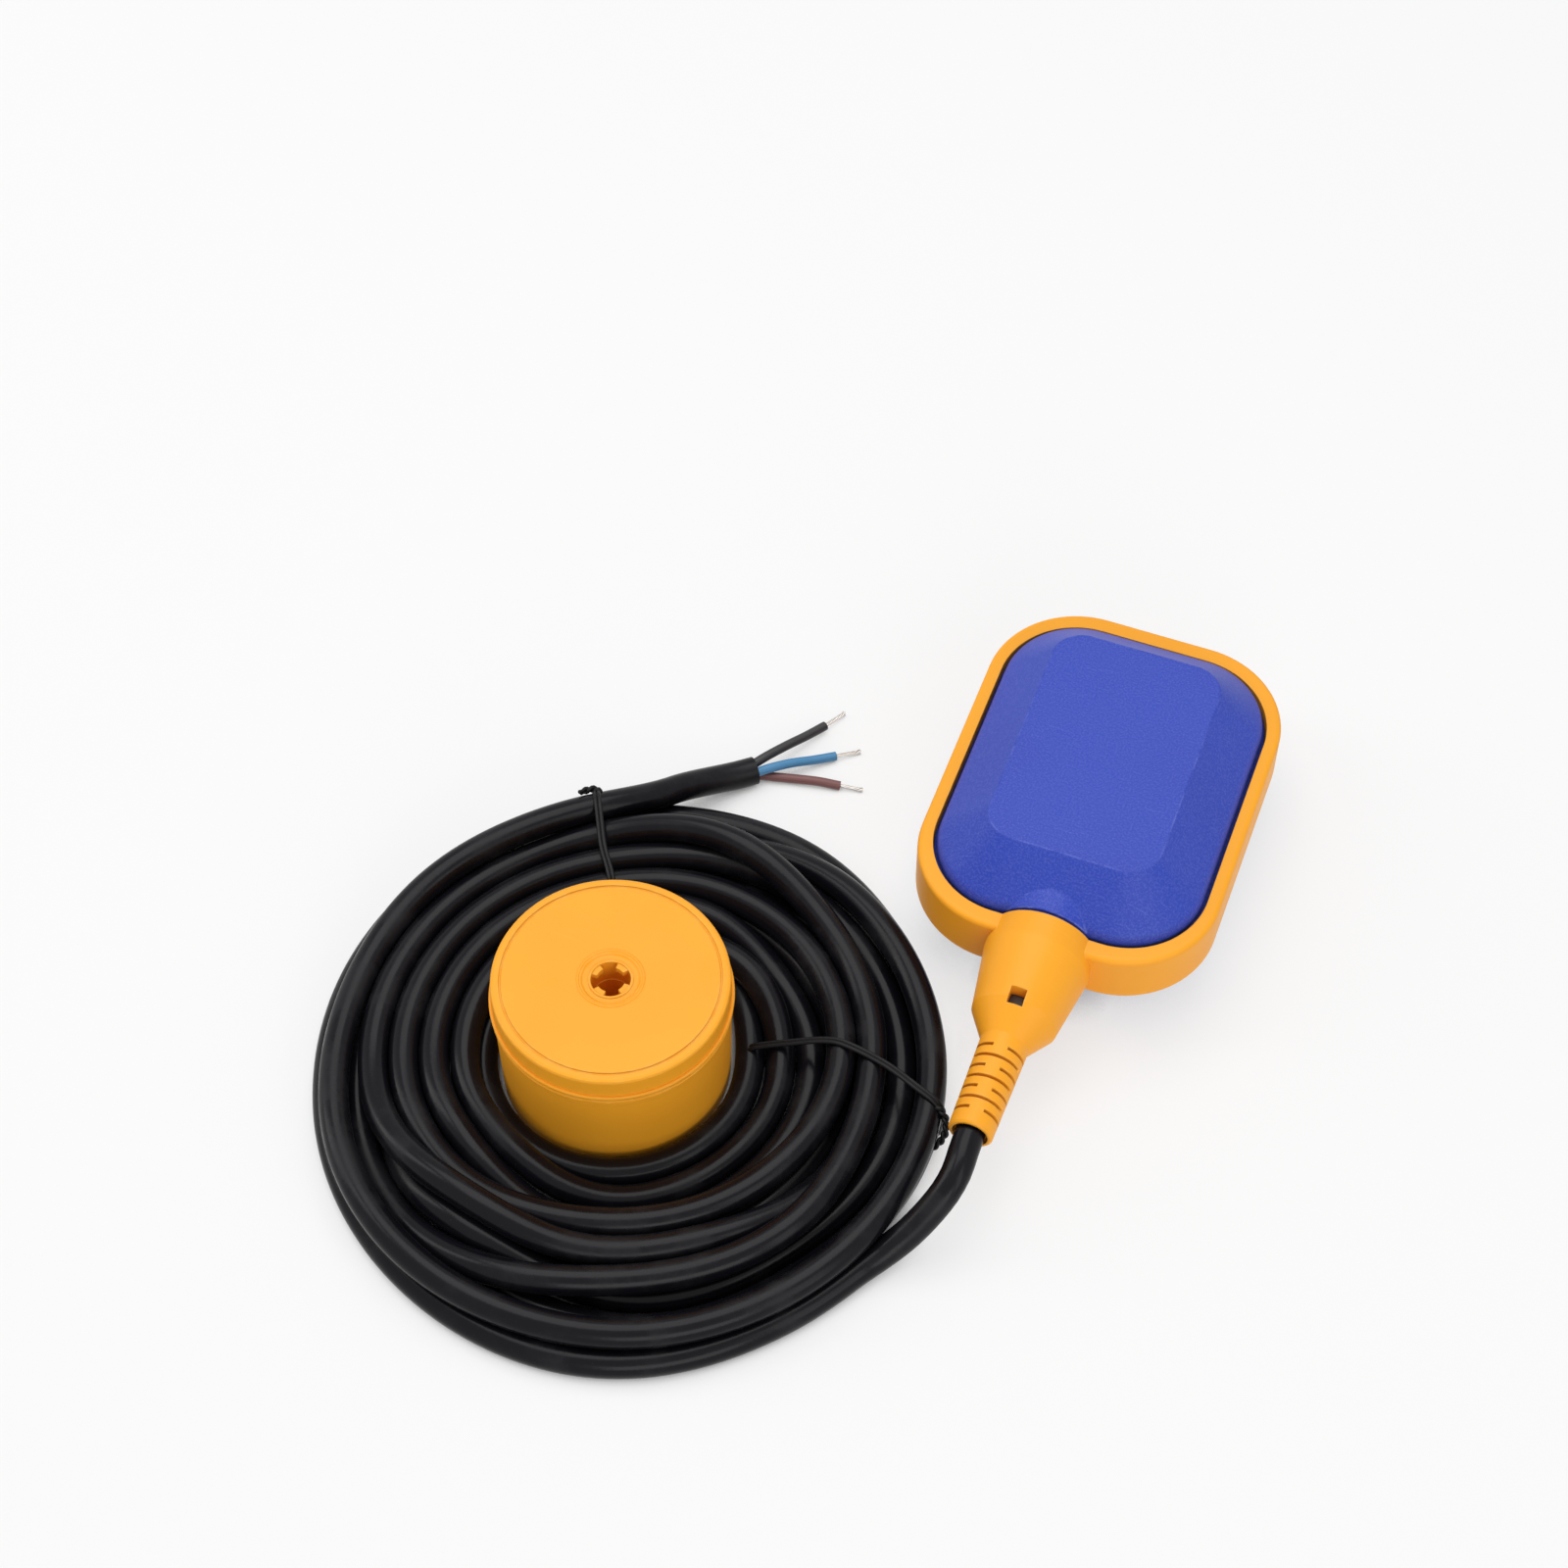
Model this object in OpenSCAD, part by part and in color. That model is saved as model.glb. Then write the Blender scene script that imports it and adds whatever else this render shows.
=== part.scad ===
// Cable float switch: a flat float with a slotted strain relief, a coil of three-core cable
// and a counterweight that stands in the coil. The float lies on its lower panel at z = 0,
// its long axis is along Y and its neck points to -Y.

/* [Float frame] */
// Width of the float over the frame
float_w = 75; // [72:0.5:84]
// Length of the float over the frame, without the neck
float_l = 99.6; // [96:0.2:110]
// Thickness of the float over both covers
float_t = 41; // [39:0.5:46]
// Height of the frame band
band_h = 15; // [13:0.5:17]
// Wall of the band along the sides
band_side = 3.4; // [3:0.1:4.4]
// Wall of the band across the ends
band_end = 4.5; // [3.8:0.1:5.5]
// Corner radius of the band
band_r = 23.9; // [21:0.1:26]
// Rounding of the band's outer edges
band_edge = 1.4; // [0.6:0.1:2]
// Width of the ledge inside the band that the covers seat on
ledge_w = 3; // [2.4:0.1:4]
// Thickness of that ledge
ledge_t = 3; // [2:0.2:4]

/* [Neck and strain relief] */
// Radius of the neck where it leaves the frame
neck_r = 13.1; // [12.4:0.1:14]
// Length over which the neck keeps that radius beyond the frame
neck_flat = 1.7; // [0.5:0.1:4]
// Length of the taper down to the shoulder
neck_taper = 16.9; // [15:0.1:20]
// Radius of the neck at the shoulder
shoulder_r = 10.5; // [9.8:0.1:12]
// Length of the shoulder cone
shoulder_len = 7.2; // [6:0.1:9]
// Length of the strain relief
relief_len = 25.4; // [25.4:0.1:32]
// Radius of the strain relief at its root
relief_root_r = 5.9; // [5.6:0.1:7]
// Radius of the strain relief at its end
relief_end_r = 5.4; // [5.2:0.1:6]
// Number of rows of slots
slot_rows = 7; // [3:2:7]
// Distance from row to row
slot_pitch = 2.93; // [2:0.01:3]
// Width of a slot
slot_w = 0.8; // [0.5:0.1:1.2]
// Distance from the shoulder to the first row
slot_start = 3.6; // [2.6:0.1:4]
// Width of the webs between slots of a row
web_w = 3.5; // [2.4:0.1:4.5]
// Wall left between the cable bore and the slots
slot_floor = 0.6; // [0.4:0.1:1]
// Width of the window in the neck
window_w = 3.8; // [2.5:0.1:5]
// Length of the window in the neck
window_l = 4; // [2.5:0.1:5]
// Bore of the neck, which holds the clamp and the seal
neck_bore_r = 7.2; // [6.6:0.1:7.6]
// Clearance of the cable in its bore
bore_gap = 0.15; // [0.1:0.05:0.3]

/* [Covers] */
// Wall of a cover
cover_wall = 2; // [1.6:0.1:2.6]
// Visible gap between a cover and the frame
rim_gap = 1; // [0.4:0.1:1.2]
// Fit of a cover's flange in the frame
flange_fit = 0.15; // [0.1:0.05:0.3]
// Height of that flange above the ledge
flange_h = 3; // [2:0.1:3.6]
// Distance from a cover's edge in to the raised panel
panel_inset = 11.8; // [10:0.1:13]
// Height of the step round the panel
panel_step = 0.4; // [0.2:0.1:0.8]
// Rounding where a flank meets the rim
rim_round = 4; // [3:0.1:5]
// Radius of the half-round boss that faces the neck
boss_r = 12.8; // [11.6:0.1:12.9]
// Length of that boss
boss_len = 6.6; // [5:0.2:8]
// Amount that the boss grows towards the panel
boss_rise = 1.6; // [0:0.1:2]
// Thickness of the ribs that carry the switch housing
rib_t = 1.6; // [1.2:0.1:2.4]

/* [Cable] */
// Diameter of the cable
cable_d = 7.2; // [6.8:0.1:7.6]
// Diameter of a core over its insulation
core_d = 2.4; // [2:0.1:2.6]
// Diameter of the bare strands
strand_d = 1.1; // [0.9:0.1:1.3]
// Outer radius of the coil
coil_out_r = 78; // [74:0.5:80]
// Height of the coil in cable diameters
coil_layers = 2.5; // [2:0.1:3]
// Room between the counterweight and the coil
coil_gap = 1.5; // [1.3:0.1:3]
// Thickness of a wire tie
tie_d = 1.1; // [0.8:0.1:1.2]

/* [Counterweight] */
// Diameter over the lips
weight_d = 56.8; // [54:0.2:58]
// Height of the counterweight
weight_h = 38; // [34:0.5:44]
// Height of the cap
cap_h = 7.4; // [6:0.1:9]
// Amount that the lips stand proud of the cap
lip_out = 0.4; // [0.2:0.1:0.8]
// Height of a lip
lip_h = 0.9; // [0.6:0.1:1.2]
// Amount that the body is set back below its collar
body_set = 0.5; // [0.2:0.1:1]
// Draft of the body over its height
body_draft = 0.5; // [0:0.1:1]
// Wall of the body and the cap
weight_wall = 2; // [1.6:0.1:2.6]
// Radius of the cable bore through the cup
weight_bore_r = 4.4; // [4.1:0.1:4.8]
// Radius of the hole in the cap
cap_hole_r = 4.7; // [4.5:0.1:5.2]
// Wall of the tube round the cable bore
tube_wall = 1.6; // [1.2:0.1:2]
// Number of teeth in the cap's hole
teeth = 4; // [3:6]
// Height of the teeth in from the cap's hole
tooth_h = 1.35; // [1:0.05:1.6]
// Angle that a tooth covers
tooth_angle = 38; // [24:1:44]
// Height of the iron ring inside
ballast_h = 14; // [10:0.5:18]
// Clearance of the iron ring in the cup
ballast_fit = 0.2; // [0.1:0.05:0.4]

/* [Switch] */
// Diameter of the steel ball
ball_d = 12; // [11:0.5:12.5]
// Clearance of the ball on every side
ball_gap = 0.25; // [0.2:0.05:0.4]
// Distance that the ball rolls
ball_travel = 12; // [10:0.5:13]
// Angle that the ball turns the lever by
lever_turn = 3; // [2:0.25:3.5]
// Clearance between the ball and the lever
lever_gap = 0.35; // [0.3:0.05:0.5]
// Radius of the lever's pin
pin_r = 1; // [0.8:0.1:1.2]
// Running clearance of the lever on its pin
pin_gap = 0.05; // [0.02:0.01:0.1]
// Clearance of pins and screws in the holes that hold them
seat_gap = 0.02; // [0.01:0.01:0.05]
// Length of the snap switch
switch_l = 27.8; // [26:0.2:28]
// Width of the snap switch
switch_w = 15.9; // [15:0.1:16]
// Thickness of the snap switch
switch_t = 10.3; // [9.5:0.1:10.5]
// Radius of the button
button_r = 1.25; // [1:0.05:1.5]
// Wall of the switch housing
housing_wall = 1.8; // [1.4:0.1:2.4]
// Radius of the screws that hold the switch
screw_r = 1.45; // [1.2:0.05:1.5]

/* [Hidden] */
$fn = 72;

// Clearance that lets a cutting tool pass through a face
cut = 1;

// Colours of the pieces
yellow = "#F5A61E";
blue = "#3A45B4";
black = "#1C1C1E";
grey = "#5A5452";
ivory = "#E8E4D8";
steel = "#B8BBC0";
brass = "#C9A24B";
core_blue_colour = "#3E86B8";
core_brown_colour = "#8A5A55";

// Frame and covers
mid_z = float_t / 2;
opening_w = float_w - 2 * band_side;
opening_l = float_l - 2 * band_end;
opening_r = band_r - band_side;
cover_w = opening_w - 2 * rim_gap;
cover_l = opening_l - 2 * rim_gap;
cover_r = opening_r - rim_gap;
cover_h = float_t / 2;
skirt_z = ledge_t / 2;
flange_out = rim_gap - flange_fit;
panel_r = cover_r - panel_inset;
core_w = cover_w - 2 * cover_r;
core_l = cover_l - 2 * cover_r;

// Neck: distances from the middle of the float towards its neck
neck_y0 = opening_l / 2;
neck_y1 = float_l / 2 + neck_flat;
neck_y2 = neck_y1 + neck_taper;
neck_y3 = neck_y2 + shoulder_len;
neck_y4 = neck_y3 + relief_len;
cable_r = cable_d / 2;
cable_bore_r = cable_r + bore_gap;
relief_edge = 0.5;
mouth_r = cable_r + 0.7;
mouth_depth = 1.6;
slot_floor_r = cable_bore_r + slot_floor;
// The clamp chamber ends where the shoulder cone still leaves a full wall
chamber_end = neck_y2 + 2;
window_y = neck_y2 - 0.7;
clamp_len = 6;
clamp_fit = 0.1;
clamp_slits = 4;
clamp_slit_w = 0.8;
seal_len = 10;
seal_groove = 0.7;
entry_inner_y = neck_y0 + 4;

// Switch mechanism, in the float's middle plane
ball_r = ball_d / 2;
ball_x = -10.5;
ball_y = 7;
pivot_offset = 6;
pivot_y = ball_y + pivot_offset;
turn_per_mm = lever_turn * PI / 180 / ball_travel;
ramp_steps = 12;
ramp_h = turn_per_mm * ball_travel * (pivot_offset + ball_travel);
lever_face = ball_x + ball_r + lever_gap;
lever_t = 1.5;
lever_back = lever_face + lever_t;
lever_h = 4;
lever_tip = 4.5;
lever_tip_y = ball_y - ball_travel - lever_tip;
lever_tip_cut = 0.6;
pivot_inset = 1.6;
pivot_x = lever_face + pivot_inset;
eye_r = 2.2;
eye_gap = 0.3;
button_arm = 20;
button_y = pivot_y - button_arm;
button_gap = 0.15;
button_x = lever_back + button_gap;
button_out = 1.7;
button_depth = 4;
button_len = button_out + 2.6;
button_fit = 0.1;
switch_offset = 8.7;
switch_x = button_x + button_out;
switch_y = pivot_y - switch_offset;
screw_inset = 2.8;
screw_spacing = switch_l - 2 * screw_inset;
screw_x = switch_x + switch_w - screw_inset;
screw_y = switch_y - screw_inset;
screw_fit = 0.1;
screw_boss_wall = 1.4;
screw_slot_w = 0.6;
screw_head_r = 2.6;
screw_head_h = 0.9;
channel_h = ball_r + ball_gap;
housing_half = channel_h + housing_wall;
housing_x0 = ball_x - ball_r - ball_gap - housing_wall;
switch_side_gap = 1.2;
lever_end_gap = 1;
wire_room = 9;
housing_x1 = switch_x + switch_w + switch_side_gap + housing_wall;
housing_y1 = pivot_y + eye_r + lever_end_gap + housing_wall;
housing_y0 = switch_y - switch_l - wire_room - housing_wall;
rib_inset = 8;
side_rib_inset = 5;
tab_l = 6.3;
tab_w = 4.8;
tab_t = 0.8;
tab_seat = 1;
tab_hole_r = 0.9;
tab_hole_in = 2.4;
tab_first = 2.6;
tab_pitch = 5;
tab_x = [for (i = [0 : 2]) switch_x + tab_first + i * tab_pitch];
tab_y = switch_y - switch_l;
stop_t = 1.2;
rail_over = 3;
rail_h = 2.4;
rail_w = 1.05;
rail_x = ball_x + sqrt(pow(ball_r, 2) - pow(channel_h - rail_h, 2)) + ball_gap;
wire_gate_x0 = -4;
wire_gate_x1 = tab_x[2] + core_d / 2 + 0.8;
wire_gate_h = 6;

// Counterweight and coil
weight_x = -88.6;
weight_y = -100.5;
coil_x = -86;
coil_y = -103;
weight_r = weight_d / 2;
cap_r = weight_r - lip_out;
body_r = weight_r - body_set;
body_h = weight_h - cap_h;
collar_h = 3.2;
cap_edge = 0.8;
ring_inset = 2;
ring_w = 0.5;
ring_depth = 0.25;
recess_r = 7;
recess_depth = 0.5;
plug_h = 3;
plug_fit = 0.1;
foot_chamfer = 0.5;
cavity_r = body_r - body_draft - weight_wall;
plug_r = cavity_r - plug_fit;
tube_r = weight_bore_r + tube_wall;
tooth_turn = -17.5;
hole_lip_w = 0.6;
hole_lip_h = 0.25;
coil_in_r = weight_r + norm([coil_x - weight_x, coil_y - weight_y]) + coil_gap;
coil_h = coil_layers * cable_d;
coil_w = coil_out_r - coil_in_r;
coil_edge = cable_d / 2;
tie_back_angle = 116;
tie_right_angle = 17;

// Route of the cable from the strain relief down to the coil
lead_route = [
    [0, -101, 20.5], [0, -104.4, 20.5], [0.2, -108.8, 19.5], [-0.3, -113, 17.8], [-1.8, -117, 15.3],
    [-4.2, -121, 11.8], [-7.2, -125, 8.3], [-10.6, -129, 5.7], [-14.2, -133.6, 4.3], [-18, -139, 3.7]
];
// Route of the cable from the coil to the stripped end
tail_route = [
    [-117, -45, 14], [-113, -40, 12.8], [-109, -34.6, 10.8], [-105, -28.8, 8.6],
    [-101, -23.4, 6.6], [-96.6, -18.4, 4.8], [-92, -13.8, 3.8], [-87.5, -9.7, 3.6]
];
// Routes of the three cores at the stripped end, and where their bare strands end
core_black_route = [
    [-88.4, -8.7, 4.4], [-86.2, -5.6, 4.7], [-82.9, -0.6, 4], [-79.2, 4.8, 2.8], [-76, 11.2, 1.8]
];
core_blue_route = [
    [-86.6, -10.7, 4.4], [-83.9, -8.3, 4.5], [-79.6, -4.3, 3.6], [-74.7, -0.3, 2.2], [-70.2, 3.2, 1.5]
];
core_brown_route = [
    [-87.5, -9.7, 2.1], [-84.2, -9, 1.8], [-78.6, -7.6, 1.7], [-71.8, -6.2, 1.9], [-66, -5.1, 1.3]
];
strands_black_end = [-72.8, 17.6, 0.8];
strands_blue_end = [-64.8, 7.4, 0.66];
strands_brown_end = [-60.2, -4, 0.7];
// Distance of the cores from the middle of the cable
core_ring_r = 1.5;

// Vector helpers and a tube swept along a route
function unit(v) = v / norm(v);
function heading(p, i) =
    unit(p[min(i + 1, len(p) - 1)] - p[max(i - 1, 0)]);
function ring_points(centre, t, r, n) =
    let (a = unit(cross(t, [0, 0, 1])), b = cross(a, t))
    [for (k = [0 : n - 1]) centre + r * (cos(360 * k / n) * a + sin(360 * k / n) * b)];

module tube(route, d, sides) {
    m = len(route);
    points = [for (i = [0 : m - 1]) each ring_points(route[i], heading(route, i), d / 2, sides)];
    start = [[for (k = [sides - 1 : -1 : 0]) k]];
    end = [[for (k = [0 : sides - 1]) (m - 1) * sides + k]];
    wall = [
        for (i = [0 : m - 2])
            for (k = [0 : sides - 1])
                let (a = i * sides + k, b = i * sides + (k + 1) % sides)
                each [[a, b, b + sides], [a, b + sides, a + sides]]
    ];
    polyhedron(points = points, faces = concat(start, wall, end));
}

// Flat shape with round corners
module rounded_rect(w, l, r) {
    square([w - 2 * r, l], center = true);
    square([w, l - 2 * r], center = true);
    for (x = [-1, 1], y = [-1, 1])
        translate([x * (w / 2 - r), y * (l / 2 - r)])
            circle(r);
}

// Carries a section round a rectangle with round corners. The section's x runs outwards from
// the corner's centre, and its y is the height.
module sweep_round(w, l, r) {
    long = l - 2 * r;
    wide = w - 2 * r;
    for (side = [0, 1])
        rotate([0, 0, 180 * side]) {
            translate([wide / 2, long / 2, 0])
                rotate_extrude(angle = 90)
                    children();
            translate([-wide / 2, long / 2, 0])
                rotate([0, 0, 90])
                    rotate_extrude(angle = 90)
                        children();
            translate([wide / 2, long / 2, 0])
                rotate([90, 0, 0])
                    linear_extrude(height = long)
                        children();
            translate([-wide / 2, long / 2, 0])
                rotate([90, 0, 90])
                    linear_extrude(height = wide)
                        children();
        }
}

// Slab with round corners and rounded outer edges
module soft_slab(w, l, r, h, edge) {
    sweep_round(w, l, r)
        difference() {
            union() {
                translate([0, edge])
                    square([r, h - 2 * edge]);
                square([r - edge, h]);
                for (z = [edge, h - edge])
                    translate([r - edge, z])
                        circle(edge, $fn = 32);
            }
            translate([-edge * 3, -cut])
                square([edge * 3, h + 2 * cut]);
        }
    translate([0, 0, h / 2])
        cube([w - 2 * r, l - 2 * r, h], center = true);
}

// Lays a part that is modelled upright along the neck, with its base at distance y
module along_neck(y) {
    translate([0, -y, mid_z])
        rotate([90, 0, 0])
            children();
}

// One row of strain relief slots: a ring cut that leaves two webs
module slot_row() {
    difference() {
        cylinder(r = relief_root_r + cut, h = slot_w, center = true);
        cylinder(r = slot_floor_r, h = slot_w + cut, center = true);
        cube([web_w, 4 * relief_root_r, 2 * slot_w], center = true);
    }
}

module neck_shape() {
    along_neck(0)
        rotate_extrude()
            polygon([
                [0, neck_y0], [neck_r, neck_y0], [neck_r, neck_y1], [shoulder_r, neck_y2],
                [relief_root_r, neck_y3], [relief_end_r, neck_y4 - relief_edge],
                [relief_end_r - relief_edge, neck_y4], [0, neck_y4]
            ]);
}

module float_frame() {
    color(yellow)
        difference() {
            union() {
                difference() {
                    translate([0, 0, mid_z - band_h / 2])
                        soft_slab(float_w, float_l, band_r, band_h, band_edge);
                    translate([0, 0, mid_z - band_h / 2 - cut])
                        linear_extrude(height = band_h + 2 * cut)
                            rounded_rect(opening_w, opening_l, opening_r);
                }
                translate([0, 0, mid_z - ledge_t / 2])
                    linear_extrude(height = ledge_t)
                        difference() {
                            rounded_rect(opening_w + band_side, opening_l + band_side, opening_r + band_side / 2);
                            rounded_rect(opening_w - 2 * ledge_w, opening_l - 2 * ledge_w, opening_r - ledge_w);
                        }
                neck_shape();
            }
            along_neck(neck_y0 - ledge_w - cut)
                cylinder(r = neck_bore_r, h = chamber_end - neck_y0 + ledge_w + cut);
            along_neck(chamber_end - cut)
                cylinder(r = cable_bore_r, h = neck_y4 - chamber_end + 2 * cut);
            along_neck(neck_y4 - mouth_depth)
                cylinder(r = mouth_r, h = mouth_depth + cut);
            for (i = [0 : slot_rows - 1])
                along_neck(neck_y3 + slot_start + i * slot_pitch)
                    rotate([0, 0, i % 2 == 0 ? 0 : 90])
                        slot_row();
            translate([-window_w / 2, -window_y - window_l / 2, mid_z + neck_bore_r - cut])
                cube([window_w, window_l, shoulder_r]);
        }
}

// Section of a cover from its ledge up to the panel, with the wall's thickness
slope = let (run = panel_r + panel_step - cover_r + rim_round, rise = cover_h - panel_step - band_h / 2 + 0.5)
    atan2(rise, run) - acos(rim_round / norm([run, rise]));
rim_z = band_h / 2 - 0.5;
arc_steps = 6;

function rim_arc(r) = [
    for (i = [0 : arc_steps]) [
        cover_r - rim_round + r * cos(slope * i / arc_steps),
        rim_z + r * sin(slope * i / arc_steps)
    ]
];

function reversed(list) = [for (i = [len(list) - 1 : -1 : 0]) list[i]];

// Where the inner flank meets the underside of the panel
inner_run = cover_r - rim_round + (rim_round - cover_wall) * cos(slope)
    - (cover_h - cover_wall - rim_z - (rim_round - cover_wall) * sin(slope)) * tan(slope);

module cover_section() {
    polygon(concat(
        [
            [cover_r - cover_wall, skirt_z],
            [cover_r + flange_out, skirt_z],
            [cover_r + flange_out, skirt_z + flange_h],
            [cover_r, skirt_z + flange_h + flange_out]
        ],
        rim_arc(rim_round),
        [
            [panel_r + panel_step, cover_h - panel_step],
            [panel_r, cover_h],
            [0, cover_h],
            [0, cover_h - cover_wall],
            [inner_run, cover_h - cover_wall]
        ],
        reversed(rim_arc(rim_round - cover_wall))
    ));
}

// Ribs under the panel that meet the switch housing
module cover_ribs() {
    rib_h = cover_h - cover_wall / 2 - housing_half;
    for (y = [housing_y0 + rib_inset, housing_y1 - rib_inset])
        translate([housing_x0, y - rib_t / 2, housing_half])
            cube([housing_x1 - housing_x0, rib_t, rib_h]);
    for (x = [housing_x0 + side_rib_inset, housing_x1 - side_rib_inset])
        translate([x - rib_t / 2, housing_y0 + rib_inset, housing_half])
            cube([rib_t, housing_y1 - housing_y0 - 2 * rib_inset, rib_h]);
}

// A cover, seen from the float's middle plane upwards. Its boss has a spigot that bridges the
// gap to the neck.
module cover() {
    difference() {
        union() {
            sweep_round(cover_w, cover_l, cover_r)
                cover_section();
            translate([-core_w / 2, -core_l / 2, cover_h - cover_wall])
                cube([core_w, core_l, cover_wall]);
            intersection() {
                translate([0, -cover_l / 2 + boss_len, 0])
                    rotate([90, 0, 0])
                        union() {
                            cylinder(r1 = boss_r + boss_rise, r2 = boss_r, h = boss_len);
                            cylinder(r = boss_r - cover_wall / 2, h = boss_len + flange_out);
                        }
                translate([-boss_r - cut, -cover_l, skirt_z])
                    cube([2 * (boss_r + cut), cover_l, cover_h]);
            }
        }
        translate([0, -cover_l / 2 + boss_len + cut, 0])
            rotate([90, 0, 0])
                cylinder(r = boss_r - cover_wall, h = boss_len + 3 * cut);
    }
    cover_ribs();
}

module upper_cover() {
    color(blue)
        translate([0, 0, mid_z])
            cover();
}

module lower_cover() {
    color(blue)
        translate([0, 0, mid_z])
            mirror([0, 0, 1])
                cover();
}

module cable_entry() {
    color(black)
        along_neck(entry_inner_y)
            cylinder(r = cable_r, h = neck_y4 - entry_inner_y);
}

// Slit collar that grips the cable behind the window
module cable_clamp() {
    color(grey)
        along_neck(chamber_end - clamp_len)
            difference() {
                cylinder(r = neck_bore_r - clamp_fit, h = clamp_len);
                translate([0, 0, -cut])
                    cylinder(r = cable_r + clamp_fit / 2, h = clamp_len + 2 * cut);
                for (i = [0 : clamp_slits - 1])
                    rotate([0, 0, (i + 0.5) * 360 / clamp_slits])
                        translate([0, -clamp_slit_w / 2, 1.5])
                            cube([neck_bore_r + cut, clamp_slit_w, clamp_len]);
            }
}

// Rubber seal with two grooves
module seal_grommet() {
    step = seal_len / 5;
    color("#2A2A2C")
        along_neck(chamber_end - clamp_len - seal_len)
            difference() {
                cylinder(r = neck_bore_r - clamp_fit / 2, h = seal_len);
                translate([0, 0, -cut])
                    cylinder(r = cable_r + clamp_fit / 2, h = seal_len + 2 * cut);
                for (i = [1, 3])
                    translate([0, 0, i * step])
                        difference() {
                            cylinder(r = neck_bore_r + cut, h = step);
                            translate([0, 0, -cut])
                                cylinder(r = neck_bore_r - seal_groove, h = step + 2 * cut);
                        }
            }
}

// Box round the switch, in coordinates about the float's middle plane
module housing_box(z0, z1, inset) {
    translate([housing_x0 + inset, housing_y0 + inset, z0])
        cube([housing_x1 - housing_x0 - 2 * inset, housing_y1 - housing_y0 - 2 * inset, z1 - z0]);
}

// Ribs on the floor and on the lid that guide the ball, and its two end stops
module ball_guides() {
    y_near = ball_y - ball_travel - ball_r - ball_gap;
    y_far = ball_y + ball_r + ball_gap;
    translate([rail_x, y_near, -channel_h])
        cube([rail_w, ball_y + rail_over - y_near, rail_h]);
    translate([housing_x0 + housing_wall / 2, y_near - stop_t, -channel_h])
        cube([ball_r + ball_gap + housing_wall / 2, stop_t, channel_h]);
    translate([housing_x0 + housing_wall / 2, y_far, -channel_h])
        cube([ball_r + ball_gap + housing_wall / 2, stop_t, channel_h]);
}

module screw_places() {
    for (i = [0, 1])
        translate([screw_x, screw_y - i * screw_spacing, 0])
            children();
}

module switch_housing() {
    color(ivory)
        translate([0, 0, mid_z])
            difference() {
                union() {
                    difference() {
                        housing_box(-housing_half, channel_h, 0);
                        housing_box(-channel_h, channel_h + cut, housing_wall);
                        translate([wire_gate_x0, housing_y0 - cut, -wire_gate_h / 2])
                            cube([wire_gate_x1 - wire_gate_x0, housing_wall + 2 * cut, channel_h + wire_gate_h]);
                    }
                    ball_guides();
                    translate([pivot_x, pivot_y, -channel_h])
                        cylinder(r = eye_r, h = channel_h - lever_h / 2 - eye_gap);
                    screw_places()
                        translate([0, 0, -channel_h])
                            cylinder(r = screw_r + screw_boss_wall, h = channel_h - switch_t / 2);
                }
                translate([pivot_x, pivot_y, -channel_h - housing_wall / 2])
                    cylinder(r = pin_r + seat_gap, h = channel_h);
                screw_places()
                    translate([0, 0, -channel_h - housing_wall / 2])
                        cylinder(r = screw_r + seat_gap, h = channel_h);
            }
}

module housing_lid() {
    color(ivory)
        translate([0, 0, mid_z])
            difference() {
                union() {
                    housing_box(channel_h, housing_half, 0);
                    y_near = ball_y - ball_travel - ball_r - ball_gap;
                    translate([rail_x, y_near, channel_h - rail_h])
                        cube([rail_w, ball_y + rail_over - y_near, rail_h]);
                    translate([pivot_x, pivot_y, lever_h / 2 + eye_gap])
                        cylinder(r = eye_r, h = channel_h - lever_h / 2 - eye_gap);
                }
                translate([pivot_x, pivot_y, 0])
                    cylinder(r = pin_r + seat_gap, h = channel_h + housing_wall / 2);
            }
}

module steel_ball() {
    color(steel)
        translate([ball_x, ball_y, mid_z])
            sphere(ball_r);
}

// The face that the ball runs on rises so that the lever turns in step with the ball
function ramp_at(s) = turn_per_mm * s * (pivot_offset + s);

module trip_lever() {
    ramp = [
        for (i = [0 : ramp_steps])
            let (s = ball_travel * i / ramp_steps)
            [lever_face - ramp_at(s), ball_y - s]
    ];
    tip = [
        [lever_face - ramp_h, lever_tip_y + lever_tip_cut],
        [lever_face - ramp_h + lever_tip_cut, lever_tip_y],
        [lever_back, lever_tip_y],
        [lever_back, pivot_y]
    ];
    color(steel)
        translate([0, 0, mid_z - lever_h / 2])
            difference() {
                union() {
                    linear_extrude(height = lever_h)
                        polygon(concat([[lever_face, pivot_y]], ramp, tip));
                    translate([pivot_x, pivot_y, 0])
                        cylinder(r = eye_r, h = lever_h);
                }
                translate([pivot_x, pivot_y, -cut])
                    cylinder(r = pin_r + pin_gap, h = lever_h + 2 * cut);
            }
}

module lever_pin() {
    color(steel)
        translate([pivot_x, pivot_y, mid_z - channel_h - housing_wall / 2])
            cylinder(r = pin_r, h = 2 * channel_h + housing_wall);
}

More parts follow.
